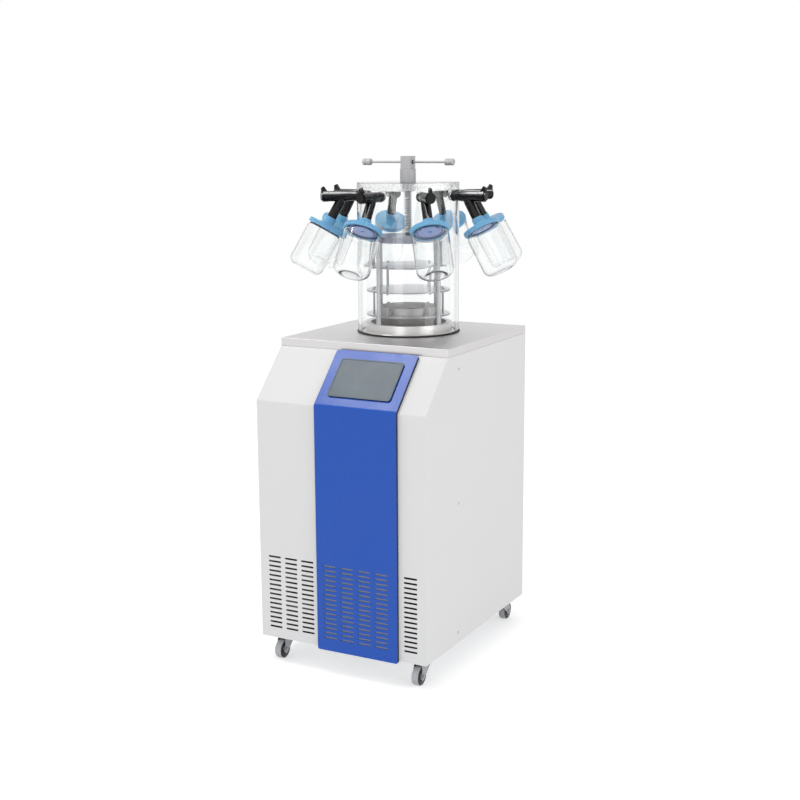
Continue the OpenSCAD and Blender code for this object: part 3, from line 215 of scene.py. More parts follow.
# %% [markdown]
# ## Brushed and turned stainless steel
#
# The worktop, the shelves and the fittings are stainless steel. Sheet is brushed with
# a belt: the scratches run one way, are far longer than wide, and blur a reflection
# across their length. We stretch a noise texture along the belt's direction and let it
# drive roughness and a weak bump. Turned pieces carry rings instead, left by the
# lathe's tool, so there the noise depends only on the height. The same recipe serves
# zinc plate, aluminium, copper and brass, with their own colours and scratches.

# %% Stainless steel
def brushed_steel(name, hex_value, roughness, lines=(3, 700, 700), strength=0.03, spread=0.1):
    """Bare metal. lines is the number of scratches in a metre along X, Y and Z, and
    spread is how far the roughness swings from one scratch to the next."""
    material, tree, shader = start_material(name, hex_value, roughness, Metallic=1.0)
    place = add(tree, "ShaderNodeTexCoord")
    along = add(tree, "ShaderNodeMapping", {"Scale": lines}, {"Vector": place.outputs["Object"]})
    scratch = add(tree, "ShaderNodeTexNoise", {"Scale": 1.0, "Detail": 4.0, "Roughness": 0.7},
                  {"Vector": along.outputs["Vector"]})
    spread_node = add(tree, "ShaderNodeMapRange",
                      {"From Min": 0.3, "From Max": 0.7,
                       "To Min": roughness - spread / 2, "To Max": roughness + spread / 2},
                      {"Value": scratch.outputs["Fac"]})
    bump = add(tree, "ShaderNodeBump", {"Strength": strength, "Distance": 0.0003},
               {"Height": scratch.outputs["Fac"]})
    tree.links.new(spread_node.outputs["Result"], shader.inputs["Roughness"])
    tree.links.new(bump.outputs["Normal"], shader.inputs["Normal"])
    return material


finishes["worktop_steel"] = brushed_steel("stainless_steel_brushed_sheet", "#D6D4D5", 0.42)
finishes["shelf_steel"] = brushed_steel("stainless_steel_satin", "#E6E6E8", 0.36,
                                        lines=(4, 500, 500), strength=0.06)
finishes["turned_steel"] = brushed_steel("stainless_steel_turned", "#D4D4D6", 0.42,
                                         lines=(12, 12, 1500))
finishes["column_steel"] = brushed_steel("stainless_steel_ground_bar", "#B6B6B8", 0.42,
                                         lines=(12, 12, 900))
finishes["rod_and_rim_shade_steel"] = brushed_steel("stainless_steel_drawn_rod", "#97979A", 0.42,
                                      lines=(300, 300, 20))
finishes["hub_steel"] = brushed_steel("cast_steel_blasted", "#BCBCBE", 0.62,
                                      lines=(700, 700, 60), strength=0.12)
finishes["collar_steel"] = brushed_steel("stainless_steel_bead_blasted", "#DCD8D7", 0.38,
                                         lines=(300, 300, 300))
finishes["tray_steel"] = brushed_steel("stainless_steel_pickled", "#A6A5A5", 0.5,
                                       lines=(400, 400, 400), strength=0.1)
finishes["tray_floor"] = brushed_steel("stainless_steel_etched", "#DEDCDB", 0.6,
                                       lines=(900, 900, 900), strength=0.3)
finishes["guide_shade_steel"] = brushed_steel("stainless_steel_heat_tinted", "#6E6A68", 0.5,
                                       lines=(40, 40, 300))
finishes["zinc_steel"] = brushed_steel("zinc_plated_steel", "#C4C6C9", 0.34,
                                       lines=(60, 60, 60), spread=0.16)
finishes["pressed_zinc"] = brushed_steel("zinc_plated_pressing", "#A6A8AB", 0.5,
                                         lines=(60, 60, 60), spread=0.16)
finishes["aluminium"] = brushed_steel("mill_finish_aluminium", "#C6C8CA", 0.4, lines=(200, 20, 20))
finishes["copper"] = brushed_steel("drawn_copper", "#C9744A", 0.3, lines=(40, 40, 40), spread=0.2)
finishes["brass"] = brushed_steel("turned_brass", "#C9A24C", 0.25, lines=(20, 900, 20))
print("metals:", [name for name in finishes if "steel" in name], "aluminium, copper and brass")

# %% [markdown]
# ## Moulded plastics and rubbers
#
# The valves are glass-filled nylon, moulded in a polished tool, so their black skin is
# glossy with a hint of unevenness. The flask caps are soft blue silicone: it is a
# little translucent, so light that enters it comes out again nearby, which subsurface
# scattering gives. Wheels and seals are plain matt rubber with a fine grain. Foam and
# the filter mat are matt too, so the same recipe makes them.

# %% Plastics and rubbers
def moulded(name, hex_value, roughness, grain_mm=0.8, strength=0.06, **sockets):
    """Moulded plastic or rubber, with a skin of bumps grain_mm apart."""
    material, tree, shader = start_material(name, hex_value, roughness, **sockets)
    place = add(tree, "ShaderNodeTexCoord")
    grain = add(tree, "ShaderNodeTexNoise", {"Scale": 1000 / grain_mm, "Detail": 2.0},
                {"Vector": place.outputs["Object"]})
    bump = add(tree, "ShaderNodeBump", {"Strength": strength, "Distance": 0.0003},
               {"Height": grain.outputs["Fac"]})
    cloud = add(tree, "ShaderNodeTexNoise", {"Scale": 60.0, "Detail": 2.0},
                {"Vector": place.outputs["Object"]})
    gloss = add(tree, "ShaderNodeMapRange",
                {"From Min": 0.3, "From Max": 0.7,
                 "To Min": roughness - 0.04, "To Max": roughness + 0.05},
                {"Value": cloud.outputs["Fac"]})
    tree.links.new(bump.outputs["Normal"], shader.inputs["Normal"])
    tree.links.new(gloss.outputs["Result"], shader.inputs["Roughness"])
    return material


finishes["valve_plastic"] = moulded("black_nylon_moulded", "#050506", 0.21, strength=0.04,
                                    Specular_IOR_Level=0.3)
finishes["case_plastic"] = moulded("abs_slate_textured", "#5E6A72", 0.45,
                                   grain_mm=1.0, strength=0.12)
finishes["case_side_shade"] = moulded("abs_midnight_blue", "#14162B", 0.5, grain_mm=1.0, strength=0.1)
finishes["black_plastic"] = moulded("abs_black_textured", "#1A1A1C", 0.5,
                                    grain_mm=1.2, strength=0.15)
finishes["fan_plastic"] = moulded("polypropylene_white", "#DADAD6", 0.4)
finishes["red_plastic"] = moulded("nylon_red", "#B3201A", 0.35)
finishes["cap_rubber"] = moulded("silicone_sky_blue", "#92D4FF", 0.3, grain_mm=2.0, strength=0.03,
                                 Subsurface_Weight=0.45, Subsurface_Scale=0.008, IOR=1.25,
                                 Transmission_Weight=0.25)
finishes["plug_painted_light"] = moulded("silicone_pale_lilac", "#9DB3EC", 0.35, grain_mm=2.0, strength=0.03,
                                Subsurface_Weight=0.3, Subsurface_Scale=0.006)
finishes["bead_painted_shade"] = moulded("silicone_navy", "#061550", 0.6, grain_mm=2.0, strength=0.03)
finishes["filter_mat"] = moulded("filter_mat_grey", "#8E96B0", 0.9, grain_mm=1.4, strength=0.5)
finishes["seal_rubber_and_shade"] = moulded("nitrile_rubber_black", "#141415", 0.55, strength=0.1)
finishes["wheel_rubber"] = moulded("thermoplastic_rubber_grey", "#C0C0C6", 0.55,
                                   grain_mm=1.0, strength=0.1)
finishes["foam"] = moulded("polyurethane_foam", "#D8CBA0", 0.9, grain_mm=2.5, strength=0.6)
print("plastics and rubbers:", [name for name in finishes if "plastic" in name or "rubber" in name])

# %% [markdown]
# ## Clear acrylic and borosilicate glass
#
# The drum and the lid are cast acrylic, and the flasks are borosilicate glass. Both
# are a Principled shader with full transmission. A clear tube is nearly invisible seen
# square on and turns grey at its edges, where we look along the wall, so Layer Weight's
# Facing lowers the colour there. For shadow rays the material becomes a transparent
# one, because light that must find its way through thick glass would leave the inside
# of the chamber dark and grainy. The lid is cut from sheet, and the saw leaves its rim
# frosted.

# %% Clear materials
def clear(name, ior, middle, edge, roughness=0.0, shade=0.93, bend=0.5, start=0.45, stop=0.98):
    """A clear solid. middle is its colour seen square on and edge its colour at a slant;
    start and stop are the values of Facing between which it changes."""
    material, tree, shader = start_material(name, middle, roughness, IOR=ior,
                                            Transmission_Weight=1.0)
    facing = add(tree, "ShaderNodeLayerWeight", {"Blend": bend})
    ramp = add(tree, "ShaderNodeValToRGB", links={"Fac": facing.outputs["Facing"]})
    ramp.color_ramp.elements[0].position = start
    ramp.color_ramp.elements[0].color = linear(middle)
    ramp.color_ramp.elements[1].position = stop
    ramp.color_ramp.elements[1].color = linear(edge)
    tree.links.new(ramp.outputs["Color"], shader.inputs["Base Color"])
    path = add(tree, "ShaderNodeLightPath")
    passing = add(tree, "ShaderNodeBsdfTransparent", {"Color": (shade, shade, shade, 1)})
    mix = add(tree, "ShaderNodeMixShader", links={
        0: path.outputs["Is Shadow Ray"], 1: shader.outputs[0], 2: passing.outputs[0]})
    tree.links.new(mix.outputs[0], tree.nodes["Out"].inputs["Surface"])
    return material


finishes["acrylic"] = clear("cast_acrylic_clear", 1.49, "#FDFEFE", "#8F969B", start=0.58, stop=0.95)
finishes["lid_acrylic"] = clear("cast_acrylic_sheet", 1.49, "#FDFEFE", "#7C8084",
                                start=0.45, stop=0.85)
finishes["sawn_acrylic"] = clear("cast_acrylic_sawn_edge", 1.49, "#FBFCFC", "#DCDEDF",
                                 roughness=0.2)
finishes["flask_glass"] = clear("borosilicate_glass", 1.47, "#FBFCFC", "#3A3F44",
                                start=0.62, stop=0.92)

# A blown flask's heel, where the side turns into the base, bends light so strongly that it shows as
# a dark line when it is seen at a low angle. That line is painted shade: the flask mesh carries its
# place as the attribute "heel", and there the glass turns near black and less clear.
tree = finishes["flask_glass"].node_tree
heel = add(tree, "ShaderNodeAttribute", {"attribute_name": "heel"})
tint = tree.nodes["Principled BSDF"].inputs["Base Color"].links[0].from_socket
slant = add(tree, "ShaderNodeLayerWeight", {"Blend": 0.5})
low_angle = add(tree, "ShaderNodeMapRange", {"From Min": 0.38, "From Max": 0.6},
                {"Value": slant.outputs["Facing"]})
strength = add(tree, "ShaderNodeMath", {"operation": "MULTIPLY"},
               {0: heel.outputs["Fac"], 1: low_angle.outputs["Result"]})
lined = add(tree, "ShaderNodeMix", {"data_type": "RGBA"}, {"Factor": strength.outputs[0]})
tree.links.new(tint, lined.inputs[6])
lined.inputs[7].default_value = linear("#0C0D0F")
tree.links.new(lined.outputs[2], tree.nodes["Principled BSDF"].inputs["Base Color"])
clear_part = add(tree, "ShaderNodeMath", {"operation": "SUBTRACT", 0: 1.0},
                 {1: strength.outputs[0]})
tree.links.new(clear_part.outputs[0], tree.nodes["Principled BSDF"].inputs["Transmission Weight"])

# The saw's marks are small cloudy flecks in the rim.
tree = finishes["sawn_acrylic"].node_tree
place = add(tree, "ShaderNodeTexCoord")
fleck = add(tree, "ShaderNodeTexNoise", {"Scale": 260.0, "Detail": 1.0},
            {"Vector": place.outputs["Object"]})
cloudy = add(tree, "ShaderNodeMapRange",
             {"From Min": 0.45, "From Max": 0.65, "To Min": 0.12, "To Max": 0.7},
             {"Value": fleck.outputs["Fac"]})
tree.links.new(cloudy.outputs["Result"], tree.nodes["Principled BSDF"].inputs["Roughness"])
print("clear materials:", finishes["acrylic"].name, finishes["flask_glass"].name)

# %% [markdown]
# ## The touch screen's glass
#
# A switched-off panel behind cover glass is a dark grey with a blue cast. Cover glass
# is smooth, so it takes a clear coat over a rougher base, which stands for the
# diffusing film under it.

# %% Screen glass
screen_material, tree, shader = start_material(
    "cover_glass_over_panel", "#4E5D69", 0.4,
    Specular_IOR_Level=0.25, Coat_Weight=0.3, Coat_Roughness=0.25)
place = add(tree, "ShaderNodeTexCoord")
film = add(tree, "ShaderNodeTexNoise", {"Scale": 14.0, "Detail": 2.0},
           {"Vector": place.outputs["Object"]})
tint = add(tree, "ShaderNodeValToRGB", links={"Fac": film.outputs["Fac"]})
tint.color_ramp.elements[0].position = 0.3
tint.color_ramp.elements[0].color = linear("#4A5A66")
tint.color_ramp.elements[1].position = 0.7
tint.color_ramp.elements[1].color = linear("#566670")
tree.links.new(tint.outputs["Color"], shader.inputs["Base Color"])
finishes["screen"] = screen_material
print("finishes:", len(finishes))

# %% [markdown]
# ## From a construction node to a finished piece
#
# The construction meshes are exact but made of loose triangles, and every edge is
# razor sharp. Real sheet and turned metal have a small radius that catches the light.
# So each node is copied, its triangles are welded, a narrow bevel goes on the sharp
# edges, and curved faces are shaded smoothly. The copy replaces the node in the
# picture and rides on the same body; the node itself stays for the physics.

# %% Finish a node
def to_object(name, bm_or_mesh, material, smooth_angle=35.0):
    """Puts a mesh in the scene as a piece that sits at the origin."""
    if isinstance(bm_or_mesh, bmesh.types.BMesh):
        mesh = bpy.data.meshes.new(name)
        bm_or_mesh.to_mesh(mesh)
        bm_or_mesh.free()
    else:
        mesh = bm_or_mesh
    mesh.materials.clear()
    mesh.materials.append(material)
    for face in mesh.polygons:
        face.use_smooth = True
        face.material_index = 0
    mesh.set_sharp_from_angle(angle=math.radians(smooth_angle))
    piece = bpy.data.objects.new(name, mesh)
    bpy.context.scene.collection.objects.link(piece)
    return piece


def flatten_shading(piece):
    """Normals that follow the large flat faces, so a fold's curve doesn't shade its sheet."""
    weight = piece.modifiers.new("flat_faces", "WEIGHTED_NORMAL")
    weight.mode = "FACE_AREA_WITH_ANGLE"
    weight.weight = 80
    weight.keep_sharp = True
    return piece


def soften(piece, width, segments=2, angle=40.0):
    """A bevel on the sharp edges, with normals kept flat on the flat faces."""
    bevel = piece.modifiers.new("edge_radius", "BEVEL")
    bevel.width = width
    bevel.segments = segments
    bevel.limit_method = "ANGLE"
    bevel.angle_limit = math.radians(angle)
    bevel.harden_normals = True
    bevel.use_clamp_overlap = True
    return piece


def welded(node):
    """The node's mesh with its loose triangles joined."""
    bm = bmesh.new()
    bm.from_mesh(frame["nodes"][node].data)
    bmesh.ops.remove_doubles(bm, verts=bm.verts, dist=0.002 * mm)
    return bm


def finish_node(node, finish, width=0.0, smooth_angle=35.0):
    """A finished copy of one construction node, riding where the node rides."""
    bm = welded(node)
    bmesh.ops.dissolve_degenerate(bm, edges=bm.edges, dist=0.001 * mm)
    piece = to_object(node + "_finished", bm, finishes[finish], smooth_angle)
    if width:
        soften(piece, width)
    flatten_shading(piece)
    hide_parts(node)
    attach(piece, frame["nodes"][node]["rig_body"])
    return piece


def repaint(piece, finish, chosen):
    """Gives a second finish to the faces that chosen(centre, normal) picks."""
    piece.data.materials.append(finishes[finish])
    for face in piece.data.polygons:
        if chosen(face.center, face.normal):
            face.material_index = len(piece.data.materials) - 1
    return sum(face.material_index == len(piece.data.materials) - 1 for face in piece.data.polygons)


# %% [markdown]
# ## The cabinet's sheet metal
#
# The side and rear panels are flat sheets. The front is one folded sheet with rows of
# vent slots, and the blue panel is a shallow folded tray in front of it. Their shapes
# are already right, so they only take the powder coat and a small edge radius. The
# slotted sheets keep their sharp slot edges: punching leaves them sharp.

# %% Panels and frame
for node in ("left_side_panel", "right_side_panel"):
    finish_node(node, "white_panel", 0.0005)
sheet = 1.5 * mm
white_front = finish_node("front_panel", "white_panel", 0.0)
# The sheet's inside has a charcoal primer, and the slots' cut walls are painted the same charcoal
# as painted shade, so that the slots read dark.
cabinet_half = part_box("front_panel")[1].x
side_flange = 8 * mm
above_the_slots = 0.5
primed = repaint(white_front, "primer_and_slot_shade", lambda at, n: (
    n.y > -0.3 and abs(at.x) < cabinet_half - side_flange
    and at.y > cabinet_front + 0.2 * mm and at.z < above_the_slots))
finish_node("rear_panel", "white_panel", 0.0)
blue_front = finish_node("blue_front_panel", "blue_panel", 0.0, smooth_angle=25.0)
# The blue panel's returns and back are painted dark blue as painted shade, for the shadow gap round
# the panel.
trimmed = repaint(blue_front, "blue_return_shade", lambda at, n: n.y > -0.3)
print("primed faces:", primed, "trimmed faces:", trimmed)
finish_node("base_frame", "zinc_steel", 0.0)
finish_node("worktop", "worktop_steel", 0.0012)

# %% [markdown]
# Behind the blue panel's slots lies a pleated filter mat that keeps dust off the
# condenser. One sees only strips of it, so its pleats are what matters: a zigzag line
# drawn upwards as a strip gives them. It lies in the window that is cut in the white
# sheet behind the slots, close behind the blue one.

# %% Filter mat
blue_low, blue_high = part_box("blue_front_panel")
window_in = 12 * mm
mat_left, mat_right = blue_low.x + window_in, blue_high.x - window_in
# The window is as high as the rows of slots.
mat_low, mat_high = 98 * mm, 302 * mm
pleat = 2.5 * mm
pleats = int((mat_right - mat_left) / pleat)
bm = bmesh.new()
for k in range(pleats + 1):
    across = mat_left + (mat_right - mat_left) * k / pleats
    deep = blue_low.y + sheet + (0.3 if k % 2 else 1.2) * mm
    foot, head = (bm.verts.new((across, deep, height)) for height in (mat_low, mat_high))
    if k:
        bm.faces.new((last_foot, foot, head, last_head))
    last_foot, last_head = foot, head
mat = to_object("filter_mat_pleated", bm, finishes["filter_mat"], smooth_angle=20)
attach(mat, "cabinet")
print("filter mat pleats:", pleats)

# %% [markdown]
# ## The touch screen
#
# The screen's case is a dark frame that stands a few millimetres proud, and the glass
# lies in it. A small radius on the frame gives the thin bright line that one sees
# round such a screen.

# %% Touch screen
case = finish_node("screen_case", "case_plastic", 0.0006)
case_out = max(case.data.polygons, key=lambda face: face.area).normal.copy()
# The case's sides face away from the front and are painted midnight blue as painted shade along its
# edges.
repaint(case, "case_side_shade", lambda at, n: abs(n.dot(case_out)) < 0.7)
finish_node("screen_glass", "screen", 0.0004)

# %% [markdown]
# ## Turned shapes
#
# A lathe makes a solid by turning a profile round an axis, and so does this function:
# it takes the profile as pairs of radius and height and joins copies of it round the
# axis. A point on the axis becomes a single pole. A loop closes the profile into a
# ring, as for a tube. The normals are recalculated once the mesh is whole.

# %% A lathe in code
def arc(centre_r, centre_z, radius, start, end, steps=6):
    """Points of a circle's arc in the profile's plane, angles in degrees."""
    return [(centre_r + radius * math.cos(math.radians(start + (end - start) * k / steps)),
             centre_z + radius * math.sin(math.radians(start + (end - start) * k / steps)))
            for k in range(steps + 1)]


def round_section(centre_r, centre_z, radius):
    """A closed circle of twelve points, for a ring of round section."""
    return arc(centre_r, centre_z, radius, 0, 330, 11)


def turned(profile, steps=96, loop=False, into=None):
    """Turns a profile of (radius, height) round the z axis."""
    bm = into or bmesh.new()
    columns = []
    for k in range(steps):
        a = 2 * math.pi * k / steps
        columns.append([None if r < 1e-7 else bm.verts.new((r * math.cos(a), r * math.sin(a), z))
                        for r, z in profile])
    poles = {i: bm.verts.new((0, 0, z)) for i, (r, z) in enumerate(profile) if r < 1e-7}
    pairs = len(profile) if loop else len(profile) - 1
    made = []
    for k in range(steps):
        here, there = columns[k], columns[(k + 1) % steps]
        for i in range(pairs):
            j = (i + 1) % len(profile)
            ring = [here[i] or poles[i], there[i] or poles[i],
                    there[j] or poles[j], here[j] or poles[j]]
            corners = [v for n, v in enumerate(ring) if v not in ring[:n]]
            if len(corners) > 2:
                made.append(bm.faces.new(corners))
    bmesh.ops.recalc_face_normals(bm, faces=made)
    return bm


test = turned([(0, 0), (0.01, 0), (0.01, 0.02), (0, 0.02)], steps=24)
print("test cylinder:", len(test.faces), "faces,", round(test.calc_volume() * 1e6, 3), "ml")
test.free()

# %% [markdown]
# ## The drum and the lid
#
# The drum is a cast acrylic tube with eight holes for the valves near its top. It is
# turned with many steps, because facets show at once in clear plastic, and the holes
# are cut with a Boolean modifier that is applied straight away. Both rims have the
# small chamfer that a workshop gives acrylic so that it does not chip.

# %% Clear drum
def cut_with(piece, cutter):
    """Applies one boolean cut and removes the cutter."""
    cut = piece.modifiers.new("cut", "BOOLEAN")
    cut.operation = "DIFFERENCE"
    cut.solver = "EXACT"
    cut.object = cutter
    mesh = bpy.data.meshes.new_from_object(
        piece.evaluated_get(bpy.context.evaluated_depsgraph_get()))
    piece.modifiers.clear()
    piece.data = mesh
    bpy.data.objects.remove(cutter)
    return piece


drum_wall = 8 * mm
port_hole_r = 11.3 * mm
drum_height = drum_high.z - drum_low.z
chamfer = 0.8 * mm
inner_r = drum_r - drum_wall
profile = [(inner_r + chamfer, 0), (drum_r - chamfer, 0), (drum_r, chamfer),
           (drum_r, drum_height * 0.5), (drum_r, drum_height - chamfer),
           (drum_r - chamfer, drum_height), (inner_r + chamfer, drum_height),
           (inner_r, drum_height - chamfer), (inner_r, drum_height * 0.5), (inner_r, chamfer)]
bm = turned(profile, steps=192, loop=True)
bm.transform(Matrix.Translation((axis_x, axis_y, drum_low.z)))
drum = to_object("clear_drum", bm, finishes["acrylic"])

cutters = bmesh.new()
knob_joints = [joints["valve_knob_%d_turn" % k] for k in range(1, 9)]
valve_z = knob_joints[0]["pos_m"][2]
valve_angles = [math.atan2(j["axis"][1], j["axis"][0]) for j in knob_joints]
for angle in valve_angles:
    hole = turned([(0, 0), (port_hole_r, 0), (port_hole_r, 0.04), (0, 0.04)], steps=48)
    place = (Matrix.Translation((axis_x, axis_y, valve_z)) @ Matrix.Rotation(angle, 4, "Z")
             @ Matrix.Translation((inner_r - 0.015, 0, 0)) @ Matrix.Rotation(math.pi / 2, 4, "Y"))
    hole.transform(place)
    part = bpy.data.meshes.new("hole")
    hole.to_mesh(part)
    hole.free()
    cutters.from_mesh(part)
cutter = to_object("port_cutter", cutters, finishes["acrylic"])
drum = cut_with(drum, cutter)
drum.data.set_sharp_from_angle(angle=math.radians(35))
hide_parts("chamber_drum")
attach(drum, "cabinet")
print("drum:", len(drum.data.polygons), "faces, radius", round(drum_r, 4))

# %% Clear lid
def from_axis(at):
    """Distance from the chamber's axis."""
    return math.hypot(at.x - axis_x, at.y - axis_y)


boss_hole = 16.3 * mm
lid_t = lid_high.z - lid_low.z
edge = 1.5 * mm
profile = ([(boss_hole, 0), (drum_r - chamfer, 0), (drum_r, chamfer)]
           + arc(drum_r - edge, lid_t - edge, edge, 0, 90) + [(boss_hole, lid_t)])
bm = turned(profile, steps=192, loop=True)
bm.transform(Matrix.Translation((axis_x, axis_y, lid_low.z)))
lid = to_object("clear_lid", bm, finishes["lid_acrylic"])
repaint(lid, "sawn_acrylic", lambda at, n: abs(n.z) < 0.3 and from_axis(at) > drum_r - 2 * mm)
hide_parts("chamber_lid")
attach(lid, "cabinet")
print("lid thickness", round(lid_t, 4))

# %% [markdown]
# ## The shelf rack
#
# Three thin steel shelves are hung from one another on rods and guided by four columns. The nodes
# have the right shapes, so each gets a fine edge radius. The rods are drawn steel, and the shelves'
# rims take the same darker colour as painted shade, so both are darker than the satin tops. The
# columns are ground bar, and the collar is blasted with glass beads to a soft sheen.

# %% Rack and collar
for node in ("shelf_top", "shelf_middle", "shelf_bottom"):
    low_shelf = finish_node(node, "shelf_steel", 0.0004)
    # The sides are darker: drawn steel on the rods, and painted shade on the shelves' rims.
    repaint(low_shelf, "rod_and_rim_shade_steel", lambda at, n: abs(n.z) < 0.5)
tray_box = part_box("sample_tray")
tray_r = (tray_box[1].x - tray_box[0].x) / 2
# Below the lowest shelf's sheet hangs the vapour guide, painted dark as painted shade for the shade
# under the shelf.
skirt_top = tray_box[0].z - 3.2 * mm
skirt_faces = repaint(low_shelf, "guide_shade_steel",
                      lambda at, n: at.z < skirt_top and from_axis(at) < tray_r + 1 * mm)
finish_node("guide_columns", "column_steel", 0.0008)
tray = finish_node("sample_tray", "tray_steel", 0.0003)
repaint(tray, "tray_floor", lambda at, n: from_axis(at) < tray_r - 0.9 * mm and n.z > -0.5)
finish_node("press_plate", "press_coat", 0.0006)
finish_node("trap_collar", "collar_steel", 0.0010)
finish_node("chamber_seal", "seal_rubber_and_shade", 0.0006)
finish_node("cold_trap", "tray_steel", 0.0)
print("rack finished, vapour guide faces:", skirt_faces)

# %% [markdown]
# ## The press screw's thread
#
# The screw is the one place where a thread is plainly visible, through the clear drum.
# A thread follows a path, so Geometry Nodes suit it: a spiral curve with the real
# lead, a small six-sided ridge swept along it, and a plain core inside. The tree's
# inputs are the thread's sizes, and its result is baked to a mesh. A real thread is
# steel to its root; here the core takes the seals' matt black, a stand-in for the
# root's shade, so that the bright ridges stand out.

# %% Thread tree
def new_tree(name, sizes):
    """A Geometry Nodes tree with a named number input for each size."""
    tree = bpy.data.node_groups.new(name, "GeometryNodeTree")
    tree.interface.new_socket("Geometry", in_out="INPUT", socket_type="NodeSocketGeometry")
    for size, value in sizes.items():
        kind = "NodeSocketInt" if isinstance(value, int) else "NodeSocketFloat"
        socket = tree.interface.new_socket(size, in_out="INPUT", socket_type=kind)
        socket.default_value = value
    tree.interface.new_socket("Geometry", in_out="OUTPUT", socket_type="NodeSocketGeometry")
    return tree, add(tree, "NodeGroupInput"), add(tree, "NodeGroupOutput")


def end_tree(tree, result, geometry, finish):
    """The end of every tree: instances are made real and take their finish."""
    real = add(tree, "GeometryNodeRealizeInstances", links={"Geometry": geometry})
    painted = add(tree, "GeometryNodeSetMaterial", {"Material": finishes[finish]},
                  {"Geometry": real.outputs["Geometry"]})
    tree.links.new(painted.outputs["Geometry"], result.inputs["Geometry"])


def bake(name, tree, sizes, finish, start=None, smooth_angle=35.0):
    """Runs a tree with the given sizes and returns the result as a plain piece."""
    holder = bpy.data.objects.new(name + "_tree", start or bpy.data.meshes.new("empty"))
    bpy.context.scene.collection.objects.link(holder)
    modifier = holder.modifiers.new("tree", "NODES")
    modifier.node_group = tree
    for item in tree.interface.items_tree:
        if item.in_out == "INPUT" and item.name in sizes:
            modifier[item.identifier] = sizes[item.name]
    mesh = bpy.data.meshes.new_from_object(
        holder.evaluated_get(bpy.context.evaluated_depsgraph_get()))
    bpy.data.objects.remove(holder)
    return to_object(name, mesh, finishes[finish], smooth_angle)


thread_sizes = {"Radius": 0.0096, "Lead": 0.005, "Turns": 30.0, "Ridge": 0.0017, "Steps": 40}
tree, given, result = new_tree("thread", thread_sizes)
height = add(tree, "ShaderNodeMath", {"operation": "MULTIPLY"},
             {0: given.outputs["Lead"], 1: given.outputs["Turns"]})
spiral = add(tree, "GeometryNodeCurveSpiral", links={
    "Resolution": given.outputs["Steps"], "Rotations": given.outputs["Turns"],
    "Start Radius": given.outputs["Radius"], "End Radius": given.outputs["Radius"],
    "Height": height.outputs[0]})
ridge = add(tree, "GeometryNodeCurvePrimitiveCircle", {"Resolution": 6},
            {"Radius": given.outputs["Ridge"]})
swept = add(tree, "GeometryNodeCurveToMesh", {"Fill Caps": True},
            {"Curve": spiral.outputs["Curve"], "Profile Curve": ridge.outputs["Curve"]})
end_tree(tree, result, swept.outputs["Mesh"], "turned_steel")
print("thread tree has", len(tree.nodes), "nodes")

# %% Press screw
screw_low, screw_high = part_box("press_screw")
screw_r = (screw_high.x - screw_low.x) / 2
neck_r = 8 * mm
neck_top = screw_low.z + 12 * mm
run_out = 3 * mm
root_r = screw_r - 3.2 * mm
core = turned([(0, screw_low.z), (neck_r, screw_low.z), (neck_r, neck_top),
               (root_r, neck_top + 1 * mm), (root_r, screw_high.z - run_out),
               (root_r - 0.8 * mm, screw_high.z), (0, screw_high.z)], steps=48)
core.transform(Matrix.Translation((axis_x, axis_y, 0)))
thread_length = screw_high.z - neck_top - 2 * run_out
turns = thread_length / thread_sizes["Lead"]
ridge_r = 1.7 * mm
thread = bake("press_thread", tree, {
    "Radius": screw_r - ridge_r - 0.05 * mm, "Turns": turns, "Ridge": ridge_r,
    "Steps": 40}, "turned_steel", smooth_angle=50)
thread.data.transform(Matrix.Translation((axis_x, axis_y, neck_top + run_out)))
core_piece = to_object("press_screw_core", core, finishes["seal_rubber_and_shade"])
for piece in (core_piece, thread):
    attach(piece, "press")
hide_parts("press_screw")
print("thread turns:", round(turns, 1), "screw radius", round(screw_r, 4))

# %% [markdown]
# ## The closing handle
#
# The square hub turns in a housing on the lid and draws the screw down. A sliding bar
# goes through the hub and has a knob pushed on each end. The knobs get the rounded
# ends that stop hands from being cut.

# %% Hub, housing and bar
finish_node("handle_hub", "hub_steel", 0.0012)
finish_node("screw_housing", "hub_steel", 0.0010)
bar_low, bar_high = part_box("handle_bar")
bar_length = bar_high.x - bar_low.x
knob_r = (bar_high.z - bar_low.z) / 2
knob_l = 26 * mm
bar_r = 3 * mm
round_r = 2.5 * mm
groove_r = knob_r - 0.9 * mm
profile = ([(0, 0)] + arc(knob_r - round_r, round_r, round_r, -90, 0)
           + [(knob_r, knob_l * 0.32), (groove_r, knob_l * 0.36),
              (groove_r, knob_l * 0.44), (knob_r, knob_l * 0.48)]
           + arc(knob_r - round_r, knob_l - round_r, round_r, 0, 90) + [(bar_r, knob_l)])
mirrored = [(r, bar_length - z) for r, z in reversed(profile)]
bar_z = (bar_low.z + bar_high.z) / 2
lie_down = Matrix.Rotation(math.pi / 2, 4, "Y")
bm = turned(profile + mirrored, steps=48)
bm.transform(Matrix.Translation((bar_low.x, axis_y, bar_z)) @ lie_down)
bar = to_object("hand_bar_piece", bm, finishes["hub_steel"])
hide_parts("handle_bar")
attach(bar, "hand_bar")

# A black ring of the seals' rubber lies in each mouth of the hub's hole, as painted shade for the
# dark inside the hole.
hub_low, hub_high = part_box("handle_hub")
rings = bmesh.new()
for mouth in (0, hub_high.x - hub_low.x):
    turned(round_section(bar_r + 1.4 * mm, mouth, 1.5 * mm), steps=32, loop=True, into=rings)
rings.transform(Matrix.Translation((hub_low.x, axis_y, bar_z)) @ lie_down)
rings = to_object("hub_rings", rings, finishes["seal_rubber_and_shade"])
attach(rings, "handle")
print("hand bar length", round(bar_length, 3))

# %% [markdown]
# ## Eight valves with their caps and flasks
#
# One valve, one cap and one flask are turned once, as short profiles. Eight of each
# stand round the drum at equal angles, so a Geometry Nodes tree puts a copy at each
# point of a circle and turns it to face outwards. Instances would vanish from the
# exported model, so the tree ends by making them real.

